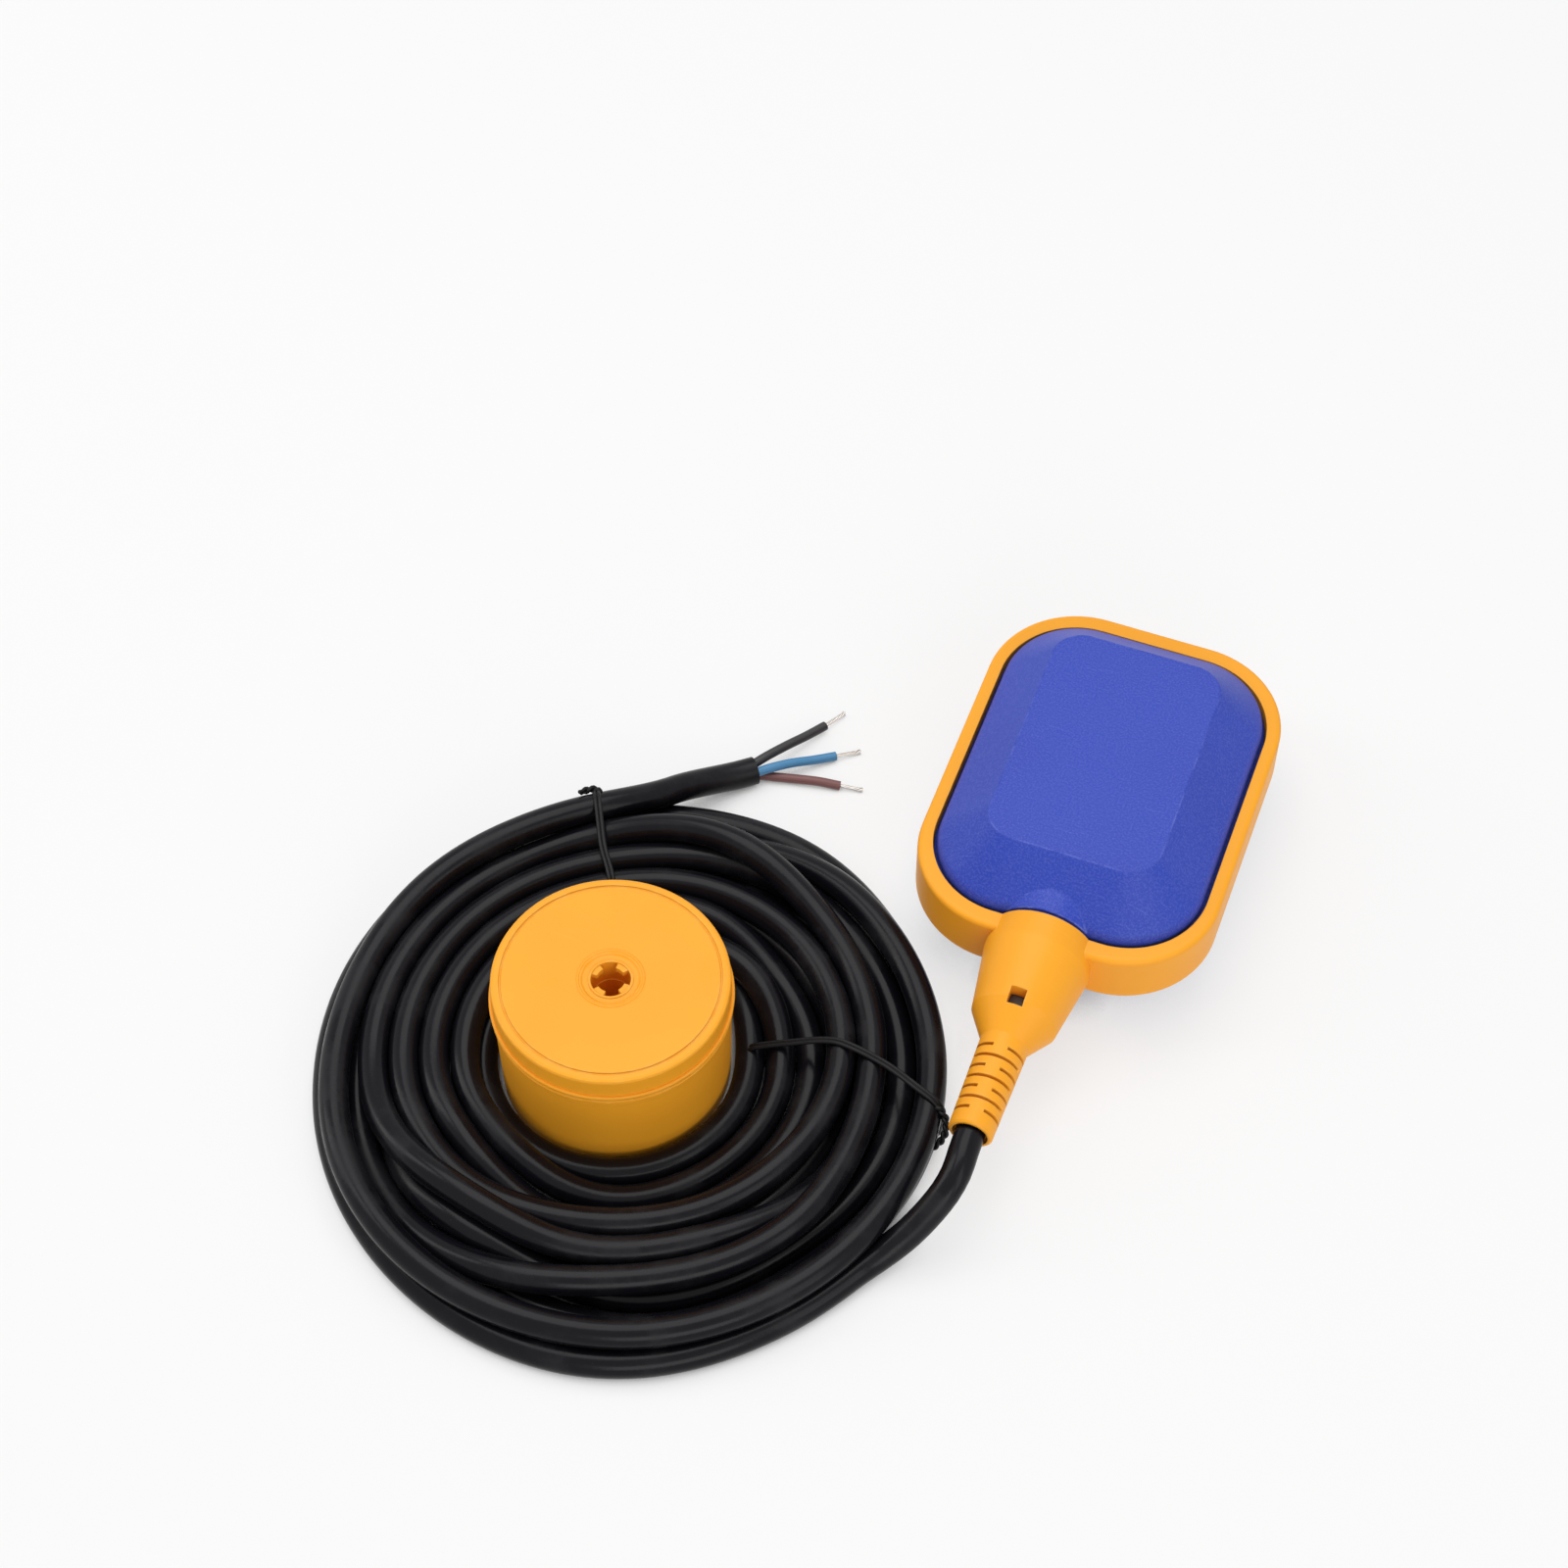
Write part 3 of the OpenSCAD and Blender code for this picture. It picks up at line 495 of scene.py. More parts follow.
FINISHES: dict[Slot, Finish] = {
    Slot.YELLOW: MouldedPlastic(
        "Yellow moulding", (0.93, 0.39, 0.022), deep=(0.84, 0.31, 0.012), pale=(1.0, 0.62, 0.16),
        roughness=0.44, specular=0.25, grain_scale=1100.0, edge_rub_and_light=0.6, scratch=0.05,
        # Painted shade colour for the strain relief's slots and the weight's grooves
        painted_slot_shade=(0.7, 0.34, 0.03),
    ),
    Slot.BLUE: MouldedPlastic(
        "Blue moulding", (0.022, 0.052, 0.41), deep=(0.016, 0.034, 0.32), pale=(0.2, 0.25, 0.72),
        roughness=0.46, specular=0.3, grain_scale=2000.0, grain_depth=0.00016, edge_rub_and_light=1.0,
        edge_width=0.0008, scratch=0.1, speckle=0.15, soft_edge=0.0008,
    ),
    Slot.SHEATH: CableRubber(
        "Cable sheath", (0.0046, 0.0043, 0.0062), roughness=0.27, specular=0.135
    ),
    Slot.CLAMP: MouldedPlastic(
        "Clamp plastic", (0.05, 0.04, 0.035), deep=(0.03, 0.025, 0.02), pale=(0.12, 0.1, 0.09),
        roughness=0.6, grain_scale=1800.0,
    ),
    Slot.SEAL: CableRubber("Seal rubber", (0.02, 0.02, 0.021), roughness=0.65, pit_scale=1500.0),
    Slot.HOUSING: MouldedPlastic(
        "Housing plastic", (0.78, 0.75, 0.66), deep=(0.7, 0.66, 0.56), pale=(0.9, 0.88, 0.82),
        roughness=0.4, grain_scale=1600.0, edge_rub_and_light=0.15,
    ),
    Slot.BALL: PlainMetal(
        "Polished steel", (0.72, 0.73, 0.75), dark=(0.6, 0.61, 0.63), roughness=0.08
    ),
    Slot.STEEL: PlainMetal(
        "Plain steel", (0.5, 0.51, 0.53), dark=(0.38, 0.39, 0.4), roughness=0.32
    ),
    Slot.SWITCH: MouldedPlastic(
        "Switch plastic", (0.02, 0.02, 0.022), deep=(0.012, 0.012, 0.013), pale=(0.06, 0.06, 0.065),
        roughness=0.38, grain_scale=2000.0,
    ),
    Slot.BUTTON: MouldedPlastic(
        "Button plastic", (0.45, 0.04, 0.03), deep=(0.35, 0.03, 0.02), pale=(0.6, 0.12, 0.1),
        roughness=0.25, grain_scale=2400.0,
    ),
    Slot.BRASS: PlainMetal(
        "Tab brass", (0.62, 0.44, 0.16), dark=(0.48, 0.33, 0.12), roughness=0.28
    ),
    Slot.CORE_BLACK: MouldedPlastic(
        "Black core", (0.02, 0.02, 0.022), deep=(0.012, 0.012, 0.014), pale=(0.08, 0.08, 0.085),
        roughness=0.45, grain_scale=2600.0, edge_rub_and_light=0.0,
    ),
    Slot.CORE_BLUE: MouldedPlastic(
        "Blue core", (0.065, 0.24, 0.44), deep=(0.025, 0.14, 0.34), pale=(0.2, 0.4, 0.6),
        roughness=0.4, grain_scale=2600.0, edge_rub_and_light=0.0,
    ),
    Slot.CORE_BROWN: MouldedPlastic(
        "Brown core", (0.18, 0.075, 0.072), deep=(0.12, 0.04, 0.035), pale=(0.3, 0.15, 0.13),
        roughness=0.45, grain_scale=2600.0, edge_rub_and_light=0.0,
    ),
    Slot.TINNED: PlainMetal(
        "Tinned copper", (0.66, 0.64, 0.61), dark=(0.5, 0.46, 0.42), roughness=0.3
    ),
    Slot.TIE: MouldedPlastic(
        "Tie wire", (0.006, 0.006, 0.007), deep=(0.004, 0.004, 0.005), pale=(0.03, 0.03, 0.033),
        roughness=0.36, specular=0.18, grain_scale=2600.0, edge_rub_and_light=0.0,
    ),
    Slot.IRON: PlainMetal(
        "Ballast iron", (0.11, 0.11, 0.115), dark=(0.07, 0.06, 0.055), roughness=0.6, scale=500.0,
        depth=0.0001,
    ),
}


class Paint:
    """Keeps one material for each slot and puts it on pieces."""

    @classmethod
    @cache
    def material(cls, slot: Slot) -> Material:
        """The material of a slot, built once."""
        return FINISHES[slot].build()

    @classmethod
    def dress(cls, thing: Object, slot: Slot) -> None:
        """Put a slot's material on a piece or CAD node."""
        thing.data.materials.clear()
        thing.data.materials.append(cls.material(slot))


# Objects and routes


def add_object(name: str, data: object) -> Object:
    """Put a new object in the scene.

    Args:
        name: Its name.
        data: Its mesh, curve, light or camera.

    Returns:
        The object.
    """
    made = bpy.data.objects.new(name, data)
    bpy.context.scene.collection.objects.link(made)
    return made


def aim(thing: Object, at: Point, target: Point) -> None:
    """Place a light or the camera and turn it towards a point.

    Args:
        thing: The light or camera.
        at: Its place.
        target: The point that it faces.
    """
    thing.location = at
    away = Vector(target) - Vector(at)
    thing.rotation_euler = away.to_track_quat("-Z", "Y").to_euler()


def resample(points: np.ndarray, step: float) -> np.ndarray:
    """Space the points of a line evenly.

    Args:
        points: The line's points.
        step: The wished distance between points.

    Returns:
        The new points, with the same ends.
    """
    length = np.concatenate([[0.0], np.cumsum(np.linalg.norm(np.diff(points, axis=0), axis=1))])
    count = max(2, int(round(length[-1] / step)) + 1)
    wanted = np.linspace(0.0, length[-1], count)
    return np.stack([np.interp(wanted, length, points[:, k]) for k in range(points.shape[1])], 1)


def smooth_route(stops: Sequence[Point], step: float) -> np.ndarray:
    """Run a smooth line through a route's stops.

    Args:
        stops: The stops, in metres.
        step: The distance between the line's points.

    Returns:
        The points of the line.
    """
    given = np.array(stops, float)
    ends = np.vstack([2 * given[0] - given[1], given, 2 * given[-1] - given[-2]])
    share = np.linspace(0.0, 1.0, 24, endpoint=False)[:, None]
    spans = []
    for a, b, c, d in zip(ends[:-3], ends[1:-2], ends[2:-1], ends[3:]):
        square, cube = 2 * a - 5 * b + 4 * c - d, 3 * b - a - 3 * c + d
        spans.append(0.5 * (2 * b + (c - a) * share + square * share**2 + cube * share**3))
    return resample(np.vstack([*spans, given[-1:]]), step)


def in_metres(stops: Iterable[Point]) -> list[Point]:
    """A route's stops, given in millimetres, in metres."""
    return [(x * MM, y * MM, z * MM) for x, y, z in stops]


def wires(
    name: str, lines: Iterable[tuple[np.ndarray, bool]], diameter: float, bevel: int
) -> Object:
    """Make one curve object of round wires.

    Args:
        name: The piece's name.
        lines: The points of each wire in metres, and whether it closes on itself.
        diameter: The wires' diameter.
        bevel: How finely they are rounded.

    Returns:
        The curve object.
    """
    data = bpy.data.curves.new(name, "CURVE")
    data.dimensions = "3D"
    data.bevel_depth = diameter / 2
    data.bevel_resolution = bevel
    data.use_fill_caps = True
    for points, closed in lines:
        spline = data.splines.new("POLY")
        spline.points.add(len(points) - 1)
        spline.points.foreach_set("co", np.hstack([points, np.ones((len(points), 1))]).ravel())
        spline.use_cyclic_u = closed
        spline.use_smooth = True
    return add_object(name, data)


# Sub-assemblies


@dataclass(frozen=True)
class Turn:
    """One turn of the coil, from the front over the left and the back to the right."""

    # Radius at each quarter, in millimetres
    radii: tuple[float, ...]
    # Height at each quarter: 0 lies on the floor and 1 in the grooves of the turns below
    lift: tuple[float, ...] = (0.0, 0.0, 0.0, 0.0)


@dataclass
class CableRun:
    """The whole cable, from the strain relief through the coil to its stripped end."""

    diameter: float = 7.2 * MM
    centre: tuple[float, float] = (-84.0 * MM, -104.0 * MM)
    weight_radius: float = 28.4 * MM
    # Azimuths in degrees, counterclockwise from +X. Each turn's first quarter is at the front
    front_azimuth: float = -60.0
    start_azimuth: float = -28.0
    start_radius: float = 74.7
    # The last quarter swings out into the tail: azimuth, radius and lift at each step
    approach: tuple[tuple[float, float, float], ...] = (
        (-188.0, 67.8, 1.1), (-218.0, 67.0, 1.55), (-240.8, 68.2, 1.75),
    )
    points_a_turn: int = 60
    # Height of one layer on the next, as a share of the diameter
    layer: float = 0.86
    settle_steps: int = 400
    # The last steps only push turns apart and straighten, without the pull and the sag
    calm_steps: int = 60
    # How far each step draws a point back to its wound place, as a share, and lets it sag
    pull: float = 0.03
    sag: float = 0.03 * MM
    # Points nearer along the cable than this many are the same turn
    own_points: int = 8
    # Points within this many diameters are watched as neighbours, and found anew at intervals
    watch: float = 2.1
    watch_steps: int = 20
    # Distance between points on the lead and the tail, and on the finished curve
    route_step: float = 5.0 * MM
    curve_step: float = 2.5 * MM
    # The lead and the tail run through these stops, in millimetres
    lead: tuple[Point, ...] = (
        (0, -101, 20.5), (0, -104.4, 20.5), (0.2, -108.8, 19.5), (-0.3, -113, 17.8),
        (-1.8, -117, 15.3), (-4.2, -121, 11.8), (-7.2, -125, 8.3), (-10.6, -129, 5.7),
        (-14.2, -133.6, 4.3), (-18, -139, 3.7),
    )
    tail: tuple[Point, ...] = (
        (-117, -45, 14), (-113, -40, 13.1), (-109, -34.6, 11.7), (-105, -28.8, 9.9),
        (-101, -23.4, 7.9), (-96.6, -18.4, 5.8), (-92, -13.8, 4.2), (-87.5, -9.7, 3.6),
    )
    turns: tuple[Turn, ...] = (
        Turn((75.4, 71.2, 74.5, 71.9)),
        Turn((68.2, 50.3, 53.2, 51.0)),
        Turn((50.5, 42.5, 46.0, 30.6)),
        Turn((26.2, 33.6, 38.4, 36.2), (0.0, 0.0, 0.0, 0.9)),
        Turn((33.5, 38.5, 43.5, 43.5), (0.0, 1.0, 1.0, 0.8)),
        Turn((39.8, 45.7, 51.0, 51.5), (0.0, 1.0, 1.0, 1.0)),
        Turn((43.5, 52.0, 58.0, 65.8), (1.0, 1.0, 1.0, 0.0)),
        Turn((61.0, 57.5, 60.4, 58.6), (0.3, 0.0, 0.0, 0.0)),
        Turn((50.8, 59.0, 63.5, 58.2), (1.0, 1.0, 1.0, 1.0)),
        Turn((57.8, 64.3, 67.5, 72.0), (1.0, 0.0, 0.0, 1.0)),
        Turn((72.0, 70.5), (1.0, 1.0)),
    )
    points: np.ndarray = field(init=False)

    def winding(self) -> np.ndarray:
        """Wind the turns one after the other through their quarters.

        Returns:
            The points of the coil before it settles.
        """
        knots = [(self.start_azimuth, self.start_radius, 0.0)]
        for count, turn in enumerate(self.turns):
            for quarter, (radius, up) in enumerate(zip(turn.radii, turn.lift)):
                azimuth = self.front_azimuth - 360.0 * count - 90.0 * quarter
                knots.append((azimuth, radius, up))
        before = 360.0 * (len(self.turns) - 1)
        knots += [(azimuth - before, radius, up) for azimuth, radius, up in self.approach]
        azimuths, radii, lift = np.array(knots).T
        way, reach = -azimuths, radii * MM
        slope = np.gradient(reach, way)
        stops = np.arange(way[0], way[-1], 360.0 / self.points_a_turn)
        span = np.clip(np.searchsorted(way, stops, side="right") - 1, 0, len(way) - 2)
        width = way[span + 1] - way[span]
        t = (stops - way[span]) / width
        ease = 3 * t**2 - 2 * t**3
        radius = (
            (1 - ease) * reach[span]
            + (t**3 - 2 * t**2 + t) * width * slope[span]
            + ease * reach[span + 1]
            + (t**3 - t**2) * width * slope[span + 1]
        )
        layer = self.layer * self.diameter
        height = self.diameter / 2 + layer * ((1 - ease) * lift[span] + ease * lift[span + 1])
        turned = np.radians(-stops)
        across = self.centre[0] + radius * np.cos(turned)
        along = self.centre[1] + radius * np.sin(turned)
        return np.stack([across, along, height], 1)

    def settle(self, points: np.ndarray, held: np.ndarray) -> np.ndarray:
        """Let the cable settle: turns push each other apart, sag, and resist sharp bends.

        Args:
            points: The points of the whole cable.
            held: True where a point stays.

        Returns:
            The settled points.
        """
        start = points.copy()
        now = points.copy()
        order = np.arange(len(now))
        loose = np.where(held, 0.0, 1.0)
        keep_out = self.weight_radius + self.diameter / 2
        axis = np.array(WEIGHT_CENTRE)
        reach = self.watch * self.diameter
        first = second = order[:0]
        for step in range(self.settle_steps):
            if step % self.watch_steps == 0:
                square = ((now[:, None, :] - now[None, :, :]) ** 2).sum(-1)
                later = order[None, :] - order[:, None] > self.own_points
                near = (square < reach**2) & later
                first, second = np.nonzero(near)
            along = np.gradient(now, axis=0)
            along /= np.linalg.norm(along, axis=1)[:, None]
            gap = now[second] - now[first]
            forward = (gap * along[first]).sum(1)
            across = gap - forward[:, None] * along[first]
            apart = np.linalg.norm(across, axis=1)
            touch = (np.abs(forward) < 0.66 * self.diameter) & (apart < self.diameter)
            one, two = first[touch], second[touch]
            away = across[touch] / np.maximum(apart[touch], 1e-9)[:, None]
            short = self.diameter - apart[touch]
            share = np.maximum(loose[one] + loose[two], 1e-9)
            push = np.zeros_like(now)
            count = np.zeros(len(now))
            np.add.at(push, one, -away * (short * loose[one] / share)[:, None])
            np.add.at(push, two, away * (short * loose[two] / share)[:, None])
            np.add.at(count, one, 1)
            np.add.at(count, two, 1)
            now += 0.8 * push / np.maximum(count, 1)[:, None]
            bend = np.zeros_like(now)
            bend[1:-1] = 0.5 * (now[:-2] + now[2:]) - now[1:-1]
            spring = np.zeros_like(now)
            spring[2:-2] = 0.5 * (bend[1:-3] + bend[3:-1]) - bend[2:-2]
            now -= 0.5 * spring * loose[:, None]
            if step < self.settle_steps - self.calm_steps:
                now[:, :2] += self.pull * (start[:, :2] - now[:, :2]) * loose[:, None]
                now[:, 2] -= self.sag * loose
            now[:, 2] = np.maximum(now[:, 2], self.diameter / 2)
            out = now[:, :2] - axis
            far = np.linalg.norm(out, axis=1)
            inside = far < keep_out
            now[inside, :2] = axis + out[inside] / far[inside][:, None] * keep_out
            now[held] = start[held]
        return now

    def route(self) -> np.ndarray:
        """Work out the whole centreline.

        Returns:
            Its points, in metres.
        """
        coil = self.winding()
        lead = smooth_route(in_metres(self.lead), self.route_step)
        tail = smooth_route(in_metres(self.tail), self.route_step)
        points = np.vstack([lead[:-1], coil[1:], tail])
        held = np.zeros(len(points), bool)
        held[: len(lead) - 1] = True
        held[-(2 * len(tail) // 3) :] = True
        return self.settle(points, held)

    def build(self) -> Object:
        """Make the cable.

        Returns:
            The cable's curve.
        """
        self.points = self.route()
        fine = smooth_route([tuple(p) for p in self.points], self.curve_step)
        cable = wires("cable", [(fine, False)], self.diameter, 8)
        Paint.dress(cable, Slot.SHEATH)
        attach(cable, "root")
        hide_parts("cable_lead", "cable_coil", "cable_tail")
        return cable

    def length(self) -> float:
        """The cable's length."""
        return float(np.linalg.norm(np.diff(self.points, axis=0), axis=1).sum())


@dataclass
class CoreEnd:
    """One insulated core at the stripped end, with its bare strands. Stops in millimetres."""

    colour: Slot
    stops: list[Point]
    tip: Point
    diameter: float = 2.4 * MM
    bundle: float = 1.1 * MM
    strand_count: int = 7
    strand_steps: int = 14
    twist: float = 2.2

    def build(self) -> list[Object]:
        """Make the core and its strands.

        Returns:
            The two pieces.
        """
        name = self.colour.value
        line = smooth_route(in_metres(self.stops), 0.8 * MM)
        core = wires(name + "_end", [(line, False)], self.diameter, 5)
        Paint.dress(core, self.colour)
        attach(core, "root")
        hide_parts(name)
        strands = self.strands(name.replace("core", "strands"))
        return [core, strands]

    def strands(self, node: str) -> Object:
        """Make the twisted bare strands.

        Args:
            node: The CAD node that they replace.

        Returns:
            The piece.
        """
        start, end = (Vector(at) for at in in_metres([self.stops[-1], self.tip]))
        line = end - start
        side = line.cross(Vector((0, 0, 1))).normalized()
        rise = side.cross(line).normalized()
        thick = self.bundle / 3.0
        lines = []
        for wire in range(self.strand_count):
            # Each wire ends at a length of its own, and the outer ones fan out at the tip
            reach = 0.93 + 0.07 * ((wire * 5) % 7) / 6
            fan = 0.5 * (wire % 3)
            points = []
            for k in range(self.strand_steps + 1):
                share = k / self.strand_steps
                angle = 2 * math.pi * (wire / (self.strand_count - 1) + self.twist * share * 0.5)
                spread = thick * (1.0 + fan * max(0.0, share - 0.6)) if wire else 0.0
                at = start + line * (share * reach)
                at = at + side * (spread * math.cos(angle)) + rise * (spread * math.sin(angle))
                points.append((at.x, at.y, max(at.z, thick / 2)))
            lines.append((np.array(points), False))
        made = wires(node + "_wires", lines, thick, 3)
        Paint.dress(made, Slot.TINNED)
        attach(made, "root")
        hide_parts(node)
        return made


@dataclass
class WireTie:
    """A thin wire tie drawn tight round the bundle of turns, with a twisted end."""

    name: str
    node: str
    # Where it crosses the bundle, seen from above, from the inside to the outside
    over: list[Point]
    # The twisted tail, as steps from the loop's outer top corner to its free end
    twist: list[Point]
    diameter: float = 1.0 * MM
    twist_pitch: float = 3.6 * MM
    twist_step: float = 0.4 * MM

    def section(self, cable: np.ndarray, radius: float) -> tuple[np.ndarray, np.ndarray]:
        """Cut the bundle along the tie.

        Args:
            cable: The cable's centreline.
            radius: The cable's radius.

        Returns:
            The tie's line on the floor, and the outline (way along it, height) of the turns.
        """
        line = smooth_route(in_metres(self.over), 0.5 * MM)
        steps = np.linalg.norm(np.diff(line[:, :2], axis=0), axis=1)
        way = np.concatenate([[0.0], np.cumsum(steps)])
        outline = []
        for at, spot in zip(way, line):
            square = radius**2 - ((cable[:, :2] - spot[:2]) ** 2).sum(1)
            inside = square > 0
            if inside.any():
                half = np.sqrt(square[inside])
                outline.append((at, (cable[inside, 2] + half).max()))
                outline.append((at, (cable[inside, 2] - half).min()))
        return np.column_stack([way, line]), np.array(outline)

    def hull(self, outline: np.ndarray) -> np.ndarray:
        """Draw a tight loop round an outline.

        Args:
            outline: Points (way, height).

        Returns:
            The corners of the loop, counterclockwise.
        """
        ordered = outline[np.lexsort((outline[:, 1], outline[:, 0]))]

        def chain(points: Iterable[np.ndarray]) -> list[np.ndarray]:
            """Draw one half of the loop.

            Args:
                points: The outline's points, in the half's order.

            Returns:
                The half's corners without its last.
            """
            kept: list[np.ndarray] = []
            for point in points:
                while len(kept) > 1:
                    a, b = kept[-1] - kept[-2], point - kept[-1]
                    if a[0] * b[1] - a[1] * b[0] > 0:
                        break
                    kept.pop()
                kept.append(point)
            return kept[:-1]

        return np.array(chain(ordered) + chain(ordered[::-1]))

    def loops(self, cable: np.ndarray, radius: float) -> list[np.ndarray]:
        """Wrap the doubled wire round the turns.

        Args:
            cable: The cable's centreline.
            radius: The cable's radius.

        Returns:
            The points of the two closed loops, side by side.
        """
        line, outline = self.section(cable, radius)
        corners = self.hull(outline)
        closed = resample(np.vstack([corners, corners[:1]]), 0.8 * MM)[:-1]
        for _ in range(3):
            closed = 0.25 * np.roll(closed, 1, 0) + 0.5 * closed + 0.25 * np.roll(closed, -1, 0)
        ahead = np.roll(closed, -1, 0) - np.roll(closed, 1, 0)
        ahead /= np.linalg.norm(ahead, axis=1)[:, None]
        closed = closed + 0.45 * self.diameter * np.column_stack([ahead[:, 1], -ahead[:, 0]])
        spots = [np.interp(closed[:, 0], line[:, 0], line[:, k]) for k in (1, 2)]
        start, end = line[1] - line[0], line[-1] - line[-2]
        before = np.minimum(closed[:, 0], 0.0) / start[0]
        after = np.maximum(closed[:, 0] - line[-1, 0], 0.0) / end[0]
        across = spots[0] + before * start[1] + after * end[1]
        along = spots[1] + before * start[2] + after * end[2]
        middle = np.column_stack([across, along, np.maximum(closed[:, 1], self.diameter / 2)])
        heading = line[-1, 1:3] - line[0, 1:3]
        heading /= np.linalg.norm(heading)
        beside = 0.5 * self.diameter * np.array([heading[1], -heading[0], 0.0])
        return [middle + beside, middle - beside]

    def tails(self, knot: np.ndarray) -> list[np.ndarray]:
        """Twist the two ends round each other.

        Args:
            knot: Where they leave the loop.

        Returns:
            The points of both ends.
        """
        line = knot + smooth_route(in_metres(self.twist), self.twist_step)
        ahead = np.gradient(line, axis=0)
        ahead /= np.linalg.norm(ahead, axis=1)[:, None]
        side = np.cross(ahead, (0.0, 0.0, 1.0))
        side /= np.maximum(np.linalg.norm(side, axis=1), 1e-6)[:, None]
        rise = np.cross(side, ahead)
        way = np.arange(len(line)) * self.twist_step
        share = np.linspace(0.0, 1.0, len(line))
        spread = self.diameter * (0.5 + 1.1 * np.maximum(share - 0.8, 0.0) / 0.2)
        ends = []
        for half in (0.0, math.pi):
            angle = half + 2 * math.pi * np.minimum(way, way[-1] * 0.85) / self.twist_pitch
            end = line + side * (spread * np.cos(angle))[:, None]
            end += rise * (spread * np.sin(angle))[:, None]
            end[:, 2] = np.maximum(end[:, 2], self.diameter / 2)
            ends.append(end)
        return ends

    def build(self, cable: np.ndarray, radius: float) -> Object:
        """Make the tie.

        Args:
            cable: The cable's centreline.
            radius: The cable's radius.

        Returns:
            The piece.
        """
        loops = self.loops(cable, radius)
        outward = np.array(self.over[-1]) - np.array(self.over[0])
        outward[2] = 0.8 * np.linalg.norm(outward)
        knot = loops[0][(loops[0] @ outward).argmax()]
        lines = [(loop, True) for loop in loops]
        lines += [(end, False) for end in self.tails(knot)]
        tie = wires(self.name, lines, self.diameter, 3)
        Paint.dress(tie, Slot.TIE)
        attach(tie, "root")
        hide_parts(self.node)
        return tie


@dataclass
class WeightTrim:
    """Fine rolled beads on the counterweight: at its cap's joint and round its cable hole."""

    joint_radius: float = 28.22 * MM
    joint_height: float = 31.45 * MM
    joint_bead: float = 0.5 * MM
    cup_height: float = 29.75 * MM
    cup_bead: float = 0.34 * MM
    hole_ring_radius: float = 7.7 * MM
    hole_bead: float = 0.42 * MM
    hole_sink: float = 0.15 * MM
    around: int = 180
    sides: int = 10

    def bead(self, name: str, radius: float, height: float, thick: float) -> Object:
        """Roll one ring-shaped bead.

        Args:
            name: The piece's name.
            radius: The ring's radius.
            height: The height of its middle.
            thick: The bead's own radius.

        Returns:
            The piece.
        """
        turn = np.linspace(0.0, 2 * math.pi, self.around, endpoint=False)[:, None]
        roll = np.linspace(0.0, 2 * math.pi, self.sides, endpoint=False)[None, :]
        reach = radius + thick * np.cos(roll)
        across = WEIGHT_CENTRE[0] + reach * np.cos(turn)
        along = WEIGHT_CENTRE[1] + reach * np.sin(turn)
        rise = height + thick * np.sin(roll) + 0.0 * turn
        points = np.stack([across, along, rise], -1).reshape(-1, 3)
        faces = []
        for i in range(self.around):
            here, ahead = i * self.sides, (i + 1) % self.around * self.sides
            for k in range(self.sides):
                m = (k + 1) % self.sides
                faces.append((here + k, ahead + k, ahead + m, here + m))
        mesh = bpy.data.meshes.new(name)
        mesh.from_pydata(points.tolist(), [], faces)
        mesh.shade_smooth()
        ring = add_object(name, mesh)
        Paint.dress(ring, Slot.YELLOW)
        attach(ring, "root")
        return ring

    def build(self) -> list[Object]:
        """Make the beads.

        Returns:
            The three pieces.
        """
        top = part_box("weight_cap")[1][2]
        return [
            self.bead("cap_bead", self.joint_radius, self.joint_height, self.joint_bead),
            self.bead("cup_bead", self.joint_radius, self.cup_height, self.cup_bead),
            self.bead("hole_bead", self.hole_ring_radius, top - self.hole_sink, self.hole_bead),
        ]


CAD_SLOTS: dict[Slot, tuple[str, ...]] = {
    Slot.YELLOW: ("float_frame", "weight_body", "weight_cap"),
    Slot.BLUE: ("upper_cover", "lower_cover"),
    Slot.SHEATH: ("cable_entry",),
    Slot.CLAMP: ("cable_clamp",),
    Slot.SEAL: ("seal_grommet",),
    Slot.HOUSING: ("switch_housing", "housing_lid"),
    Slot.BALL: ("steel_ball",),
    Slot.STEEL: ("trip_lever", "lever_pin", "switch_screws"),
    Slot.SWITCH: ("switch_body",),
    Slot.BUTTON: ("switch_plunger",),
    Slot.BRASS: ("terminal_common", "terminal_closed", "terminal_open"),
    Slot.CORE_BLACK: ("wire_black",),
    Slot.CORE_BLUE: ("wire_blue",),
    Slot.CORE_BROWN: ("wire_brown",),
    Slot.IRON: ("ballast_ring",),
}


@dataclass
class CadDressing:
    """Puts finishes on the CAD nodes that stay."""

    nodes: dict[str, Object]

    def build(self) -> None:
        """Dress every node that stays."""
        for slot, names in CAD_SLOTS.items():
            for name in names:
                Paint.dress(self.nodes[name], slot)


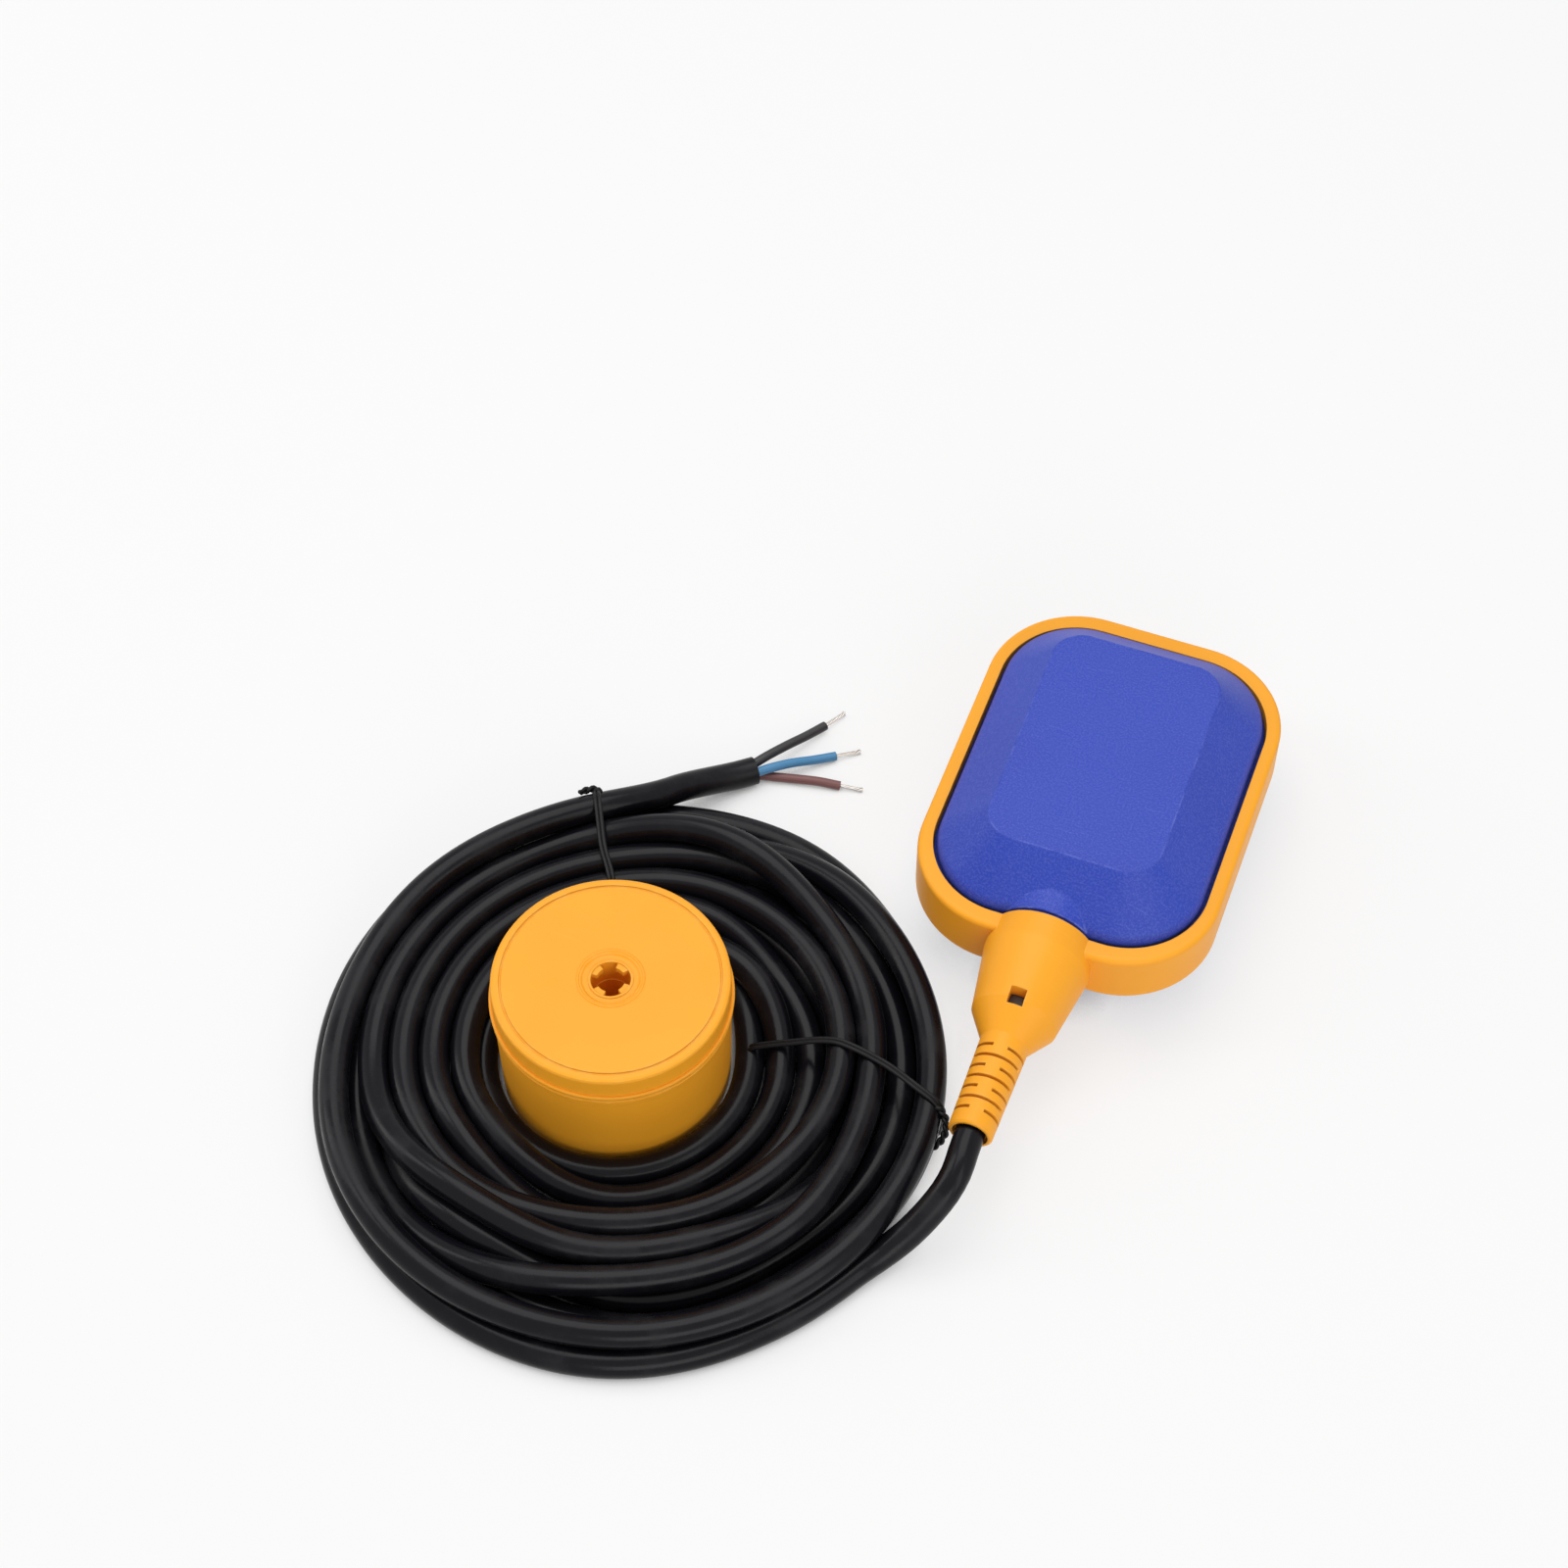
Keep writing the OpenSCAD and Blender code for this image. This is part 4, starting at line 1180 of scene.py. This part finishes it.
@dataclass
class Studio:
    """Floor, lights and camera."""

    camera_at: Point = (92.82 * MM, -473.06 * MM, 684.23 * MM)
    look_at: Point = (-72.87 * MM, -27.68 * MM, 28.0 * MM)
    lens: float = 75.92
    lights_face: Point = (-0.06, -0.06, 0.0)
    # Share of plain white in the floor's look near the object. It grows to 1 farther out
    glow: float = 0.66
    glow_from: float = 0.3
    glow_to: float = 1.1
    # The floor's glow fades to painted shade within this distance of the object, so narrow gaps
    # stay dark
    painted_shade_reach: float = 14.0 * MM
    floor_half: float = 3.0
    # Strength of the world as a light. Where it is seen, it is plain white
    world_light: float = 0.36

    def camera(self) -> None:
        """Place the camera at the photograph's viewing angle."""
        data = bpy.data.cameras.new("camera")
        data.lens = self.lens
        data.sensor_width = 36.0
        data.clip_end = 20.0
        camera = add_object("camera", data)
        aim(camera, self.camera_at, self.look_at)
        bpy.context.scene.camera = camera

    def area(self, name: str, at: Point, size: tuple[float, float], power: float) -> None:
        """Place a soft area light that points at the object.

        Args:
            name: The light's name.
            at: Its place.
            size: Its width and height.
            power: Its power in watts.
        """
        data = bpy.data.lights.new(name, "AREA")
        data.shape = "RECTANGLE"
        data.size, data.size_y = size
        data.energy = power
        aim(add_object(name, data), at, self.lights_face)

    def seen(self, graph: Graph) -> NodeSocket:
        """A mask of the rays that show a white background.

        Args:
            graph: The material's or world's graph.

        Returns:
            The mask's socket.
        """
        path = graph.node("LightPath")
        either = graph.math("MAXIMUM", path.outputs["Is Camera Ray"], path.outputs["Is Glossy Ray"])
        return graph.math("MAXIMUM", either, path.outputs["Is Transmission Ray"])

    def floor(self) -> None:
        """Lay a plain pale floor: its matt part keeps the object's real shadow, and its glow
        carries painted shade near the object.
        """
        half = self.floor_half
        mesh = bpy.data.meshes.new("floor")
        corners = [(-half, -half, 0), (half, -half, 0), (half, half, 0), (-half, half, 0)]
        mesh.from_pydata(corners, [], [(0, 1, 2, 3)])
        floor = add_object("floor", mesh)
        material = bpy.data.materials.new("Floor")
        material.use_nodes = True
        graph = Graph(material.node_tree)
        material.node_tree.nodes.clear()
        matt = graph.node("BsdfDiffuse", {"Color": (0.8, 0.8, 0.8, 1)})
        # Painted shade: ambient occlusion dims the floor's glow in gaps and under the object
        near = graph.node("AmbientOcclusion", {"Distance": self.painted_shade_reach}, samples=8)
        open_air = graph.ramp(near.outputs["AO"], 0.08, 0.6)
        lit = graph.math("MULTIPLY", self.seen(graph), open_air)
        glow = graph.node("Emission", {"Color": (1, 1, 1, 1), "Strength": lit})
        place = graph.node("TexCoord").outputs["Object"]
        reach = graph.node("VectorMath", {0: place}, operation="LENGTH").outputs["Value"]
        plain = graph.ramp(reach, self.glow_from, self.glow_to, self.glow, 1.0)
        share = graph.math("MULTIPLY", self.seen(graph), plain)
        both = graph.node("MixShader", {0: share, 1: matt.outputs[0], 2: glow.outputs[0]})
        graph.node("OutputMaterial", {"Surface": both.outputs[0]})
        mesh.materials.append(material)

    def world(self) -> None:
        """Fill the surroundings: white where it is seen, softer as a light."""
        world = bpy.data.worlds.new("studio")
        bpy.context.scene.world = world
        world.use_nodes = True
        graph = Graph(world.node_tree)
        lit = graph.ramp(self.seen(graph), 0.0, 1.0, self.world_light, 1.0)
        white = {"Color": (1, 1, 1, 1), "Strength": lit}
        graph.feed(world.node_tree.nodes["Background"], white)

    def build(self) -> None:
        """Set up the camera, the floor and the lights."""
        self.camera()
        self.floor()
        self.world()
        self.area("overhead", (-0.2, 0.25, 1.3), (1.1, 1.1), 11.0)
        self.area("left strip", (-1.2, -0.2, 0.75), (0.35, 1.2), 4.5)
        self.area("right strip", (1.0, -0.5, 0.7), (0.35, 1.0), 2.2)
        self.area("front fill", (0.6, -1.15, 0.55), (0.9, 0.6), 5.2)
        bpy.context.scene.view_settings.view_transform = "Standard"


def main(frame: dict) -> None:
    """Build and dress everything.
    """
    logging.basicConfig(level=logging.INFO, format="%(message)s")
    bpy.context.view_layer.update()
    Studio().build()
    LOG.info("studio: camera, floor and lights")

    run = CableRun()
    cable = run.build()
    LOG.info("cable: %.3f m in %d points", run.length(), len(run.points))

    ends = [
        CoreEnd(
            Slot.CORE_BLACK,
            [
                (-88.4, -8.7, 4.4), (-85.9, -4.9, 4.5), (-82.5, 0.6, 3.7), (-79.2, 5.9, 2.6),
                (-76, 11.2, 1.8),
            ],
            (-72.8, 17.6, 0.8),
        ),
        CoreEnd(
            Slot.CORE_BLUE,
            [
                (-86.6, -10.7, 4.4), (-83.9, -8.3, 4.5), (-79.6, -4.3, 3.6), (-74.7, -0.3, 2.2),
                (-70.2, 3.2, 1.5),
            ],
            (-64.8, 7.4, 0.66),
        ),
        CoreEnd(
            Slot.CORE_BROWN,
            [
                (-87.5, -9.7, 2.1), (-84.2, -9, 1.8), (-78.6, -7.6, 1.7), (-71.8, -6.2, 1.9),
                (-66, -5.1, 1.3),
            ],
            (-60.2, -4, 0.7),
        ),
    ]
    pieces: list[Object] = []
    for end in ends:
        pieces += end.build()
        LOG.info("core end: %s", end.colour.value)

    ties = [
        WireTie(
            "back_tie", "tie_back",
            [
                (-104.5, -62.5, 0), (-107.3, -57.9, 0), (-111.4, -52.2, 0), (-116.3, -43, 0),
                (-121.8, -32.8, 0),
            ],
            [
                (0.4, -0.3, -0.1), (0, 0.2, 0.3), (-0.9, 0, 0.5), (-2, -0.6, 0.5),
                (-3.1, -1.3, 0.3), (-4, -2, 0),
            ],
        ),
        WireTie(
            "right_tie", "tie_right",
            [
                (-58.5, -89.3, 0), (-50.7, -87.1, 0), (-39.3, -84.7, 0), (-26.4, -86.5, 0),
                (-15.1, -90.6, 0), (-8.7, -92.9, 0), (-6, -93.9, 0),
            ],
            [
                (-0.8, 0.3, 0.2), (0, 0, 0.2), (1.4, -0.6, -1), (2.6, -2.6, -3), (2.2, -5, -5),
                (0.4, -7, -6.4), (-2, -8, -7),
            ],
        ),
    ]
    fine = resample(run.points, 1.0 * MM)
    for tie in ties:
        pieces.append(tie.build(fine, run.diameter / 2))
        LOG.info("wire tie: %s", tie.name)

    WeightTrim().build()
    LOG.info("counterweight: beads at the cap's joint and round the hole")

    CadDressing(frame["nodes"]).build()
    LOG.info("frame, covers, weight and inner parts dressed")


if __name__ == "__main__":
    main(frame)
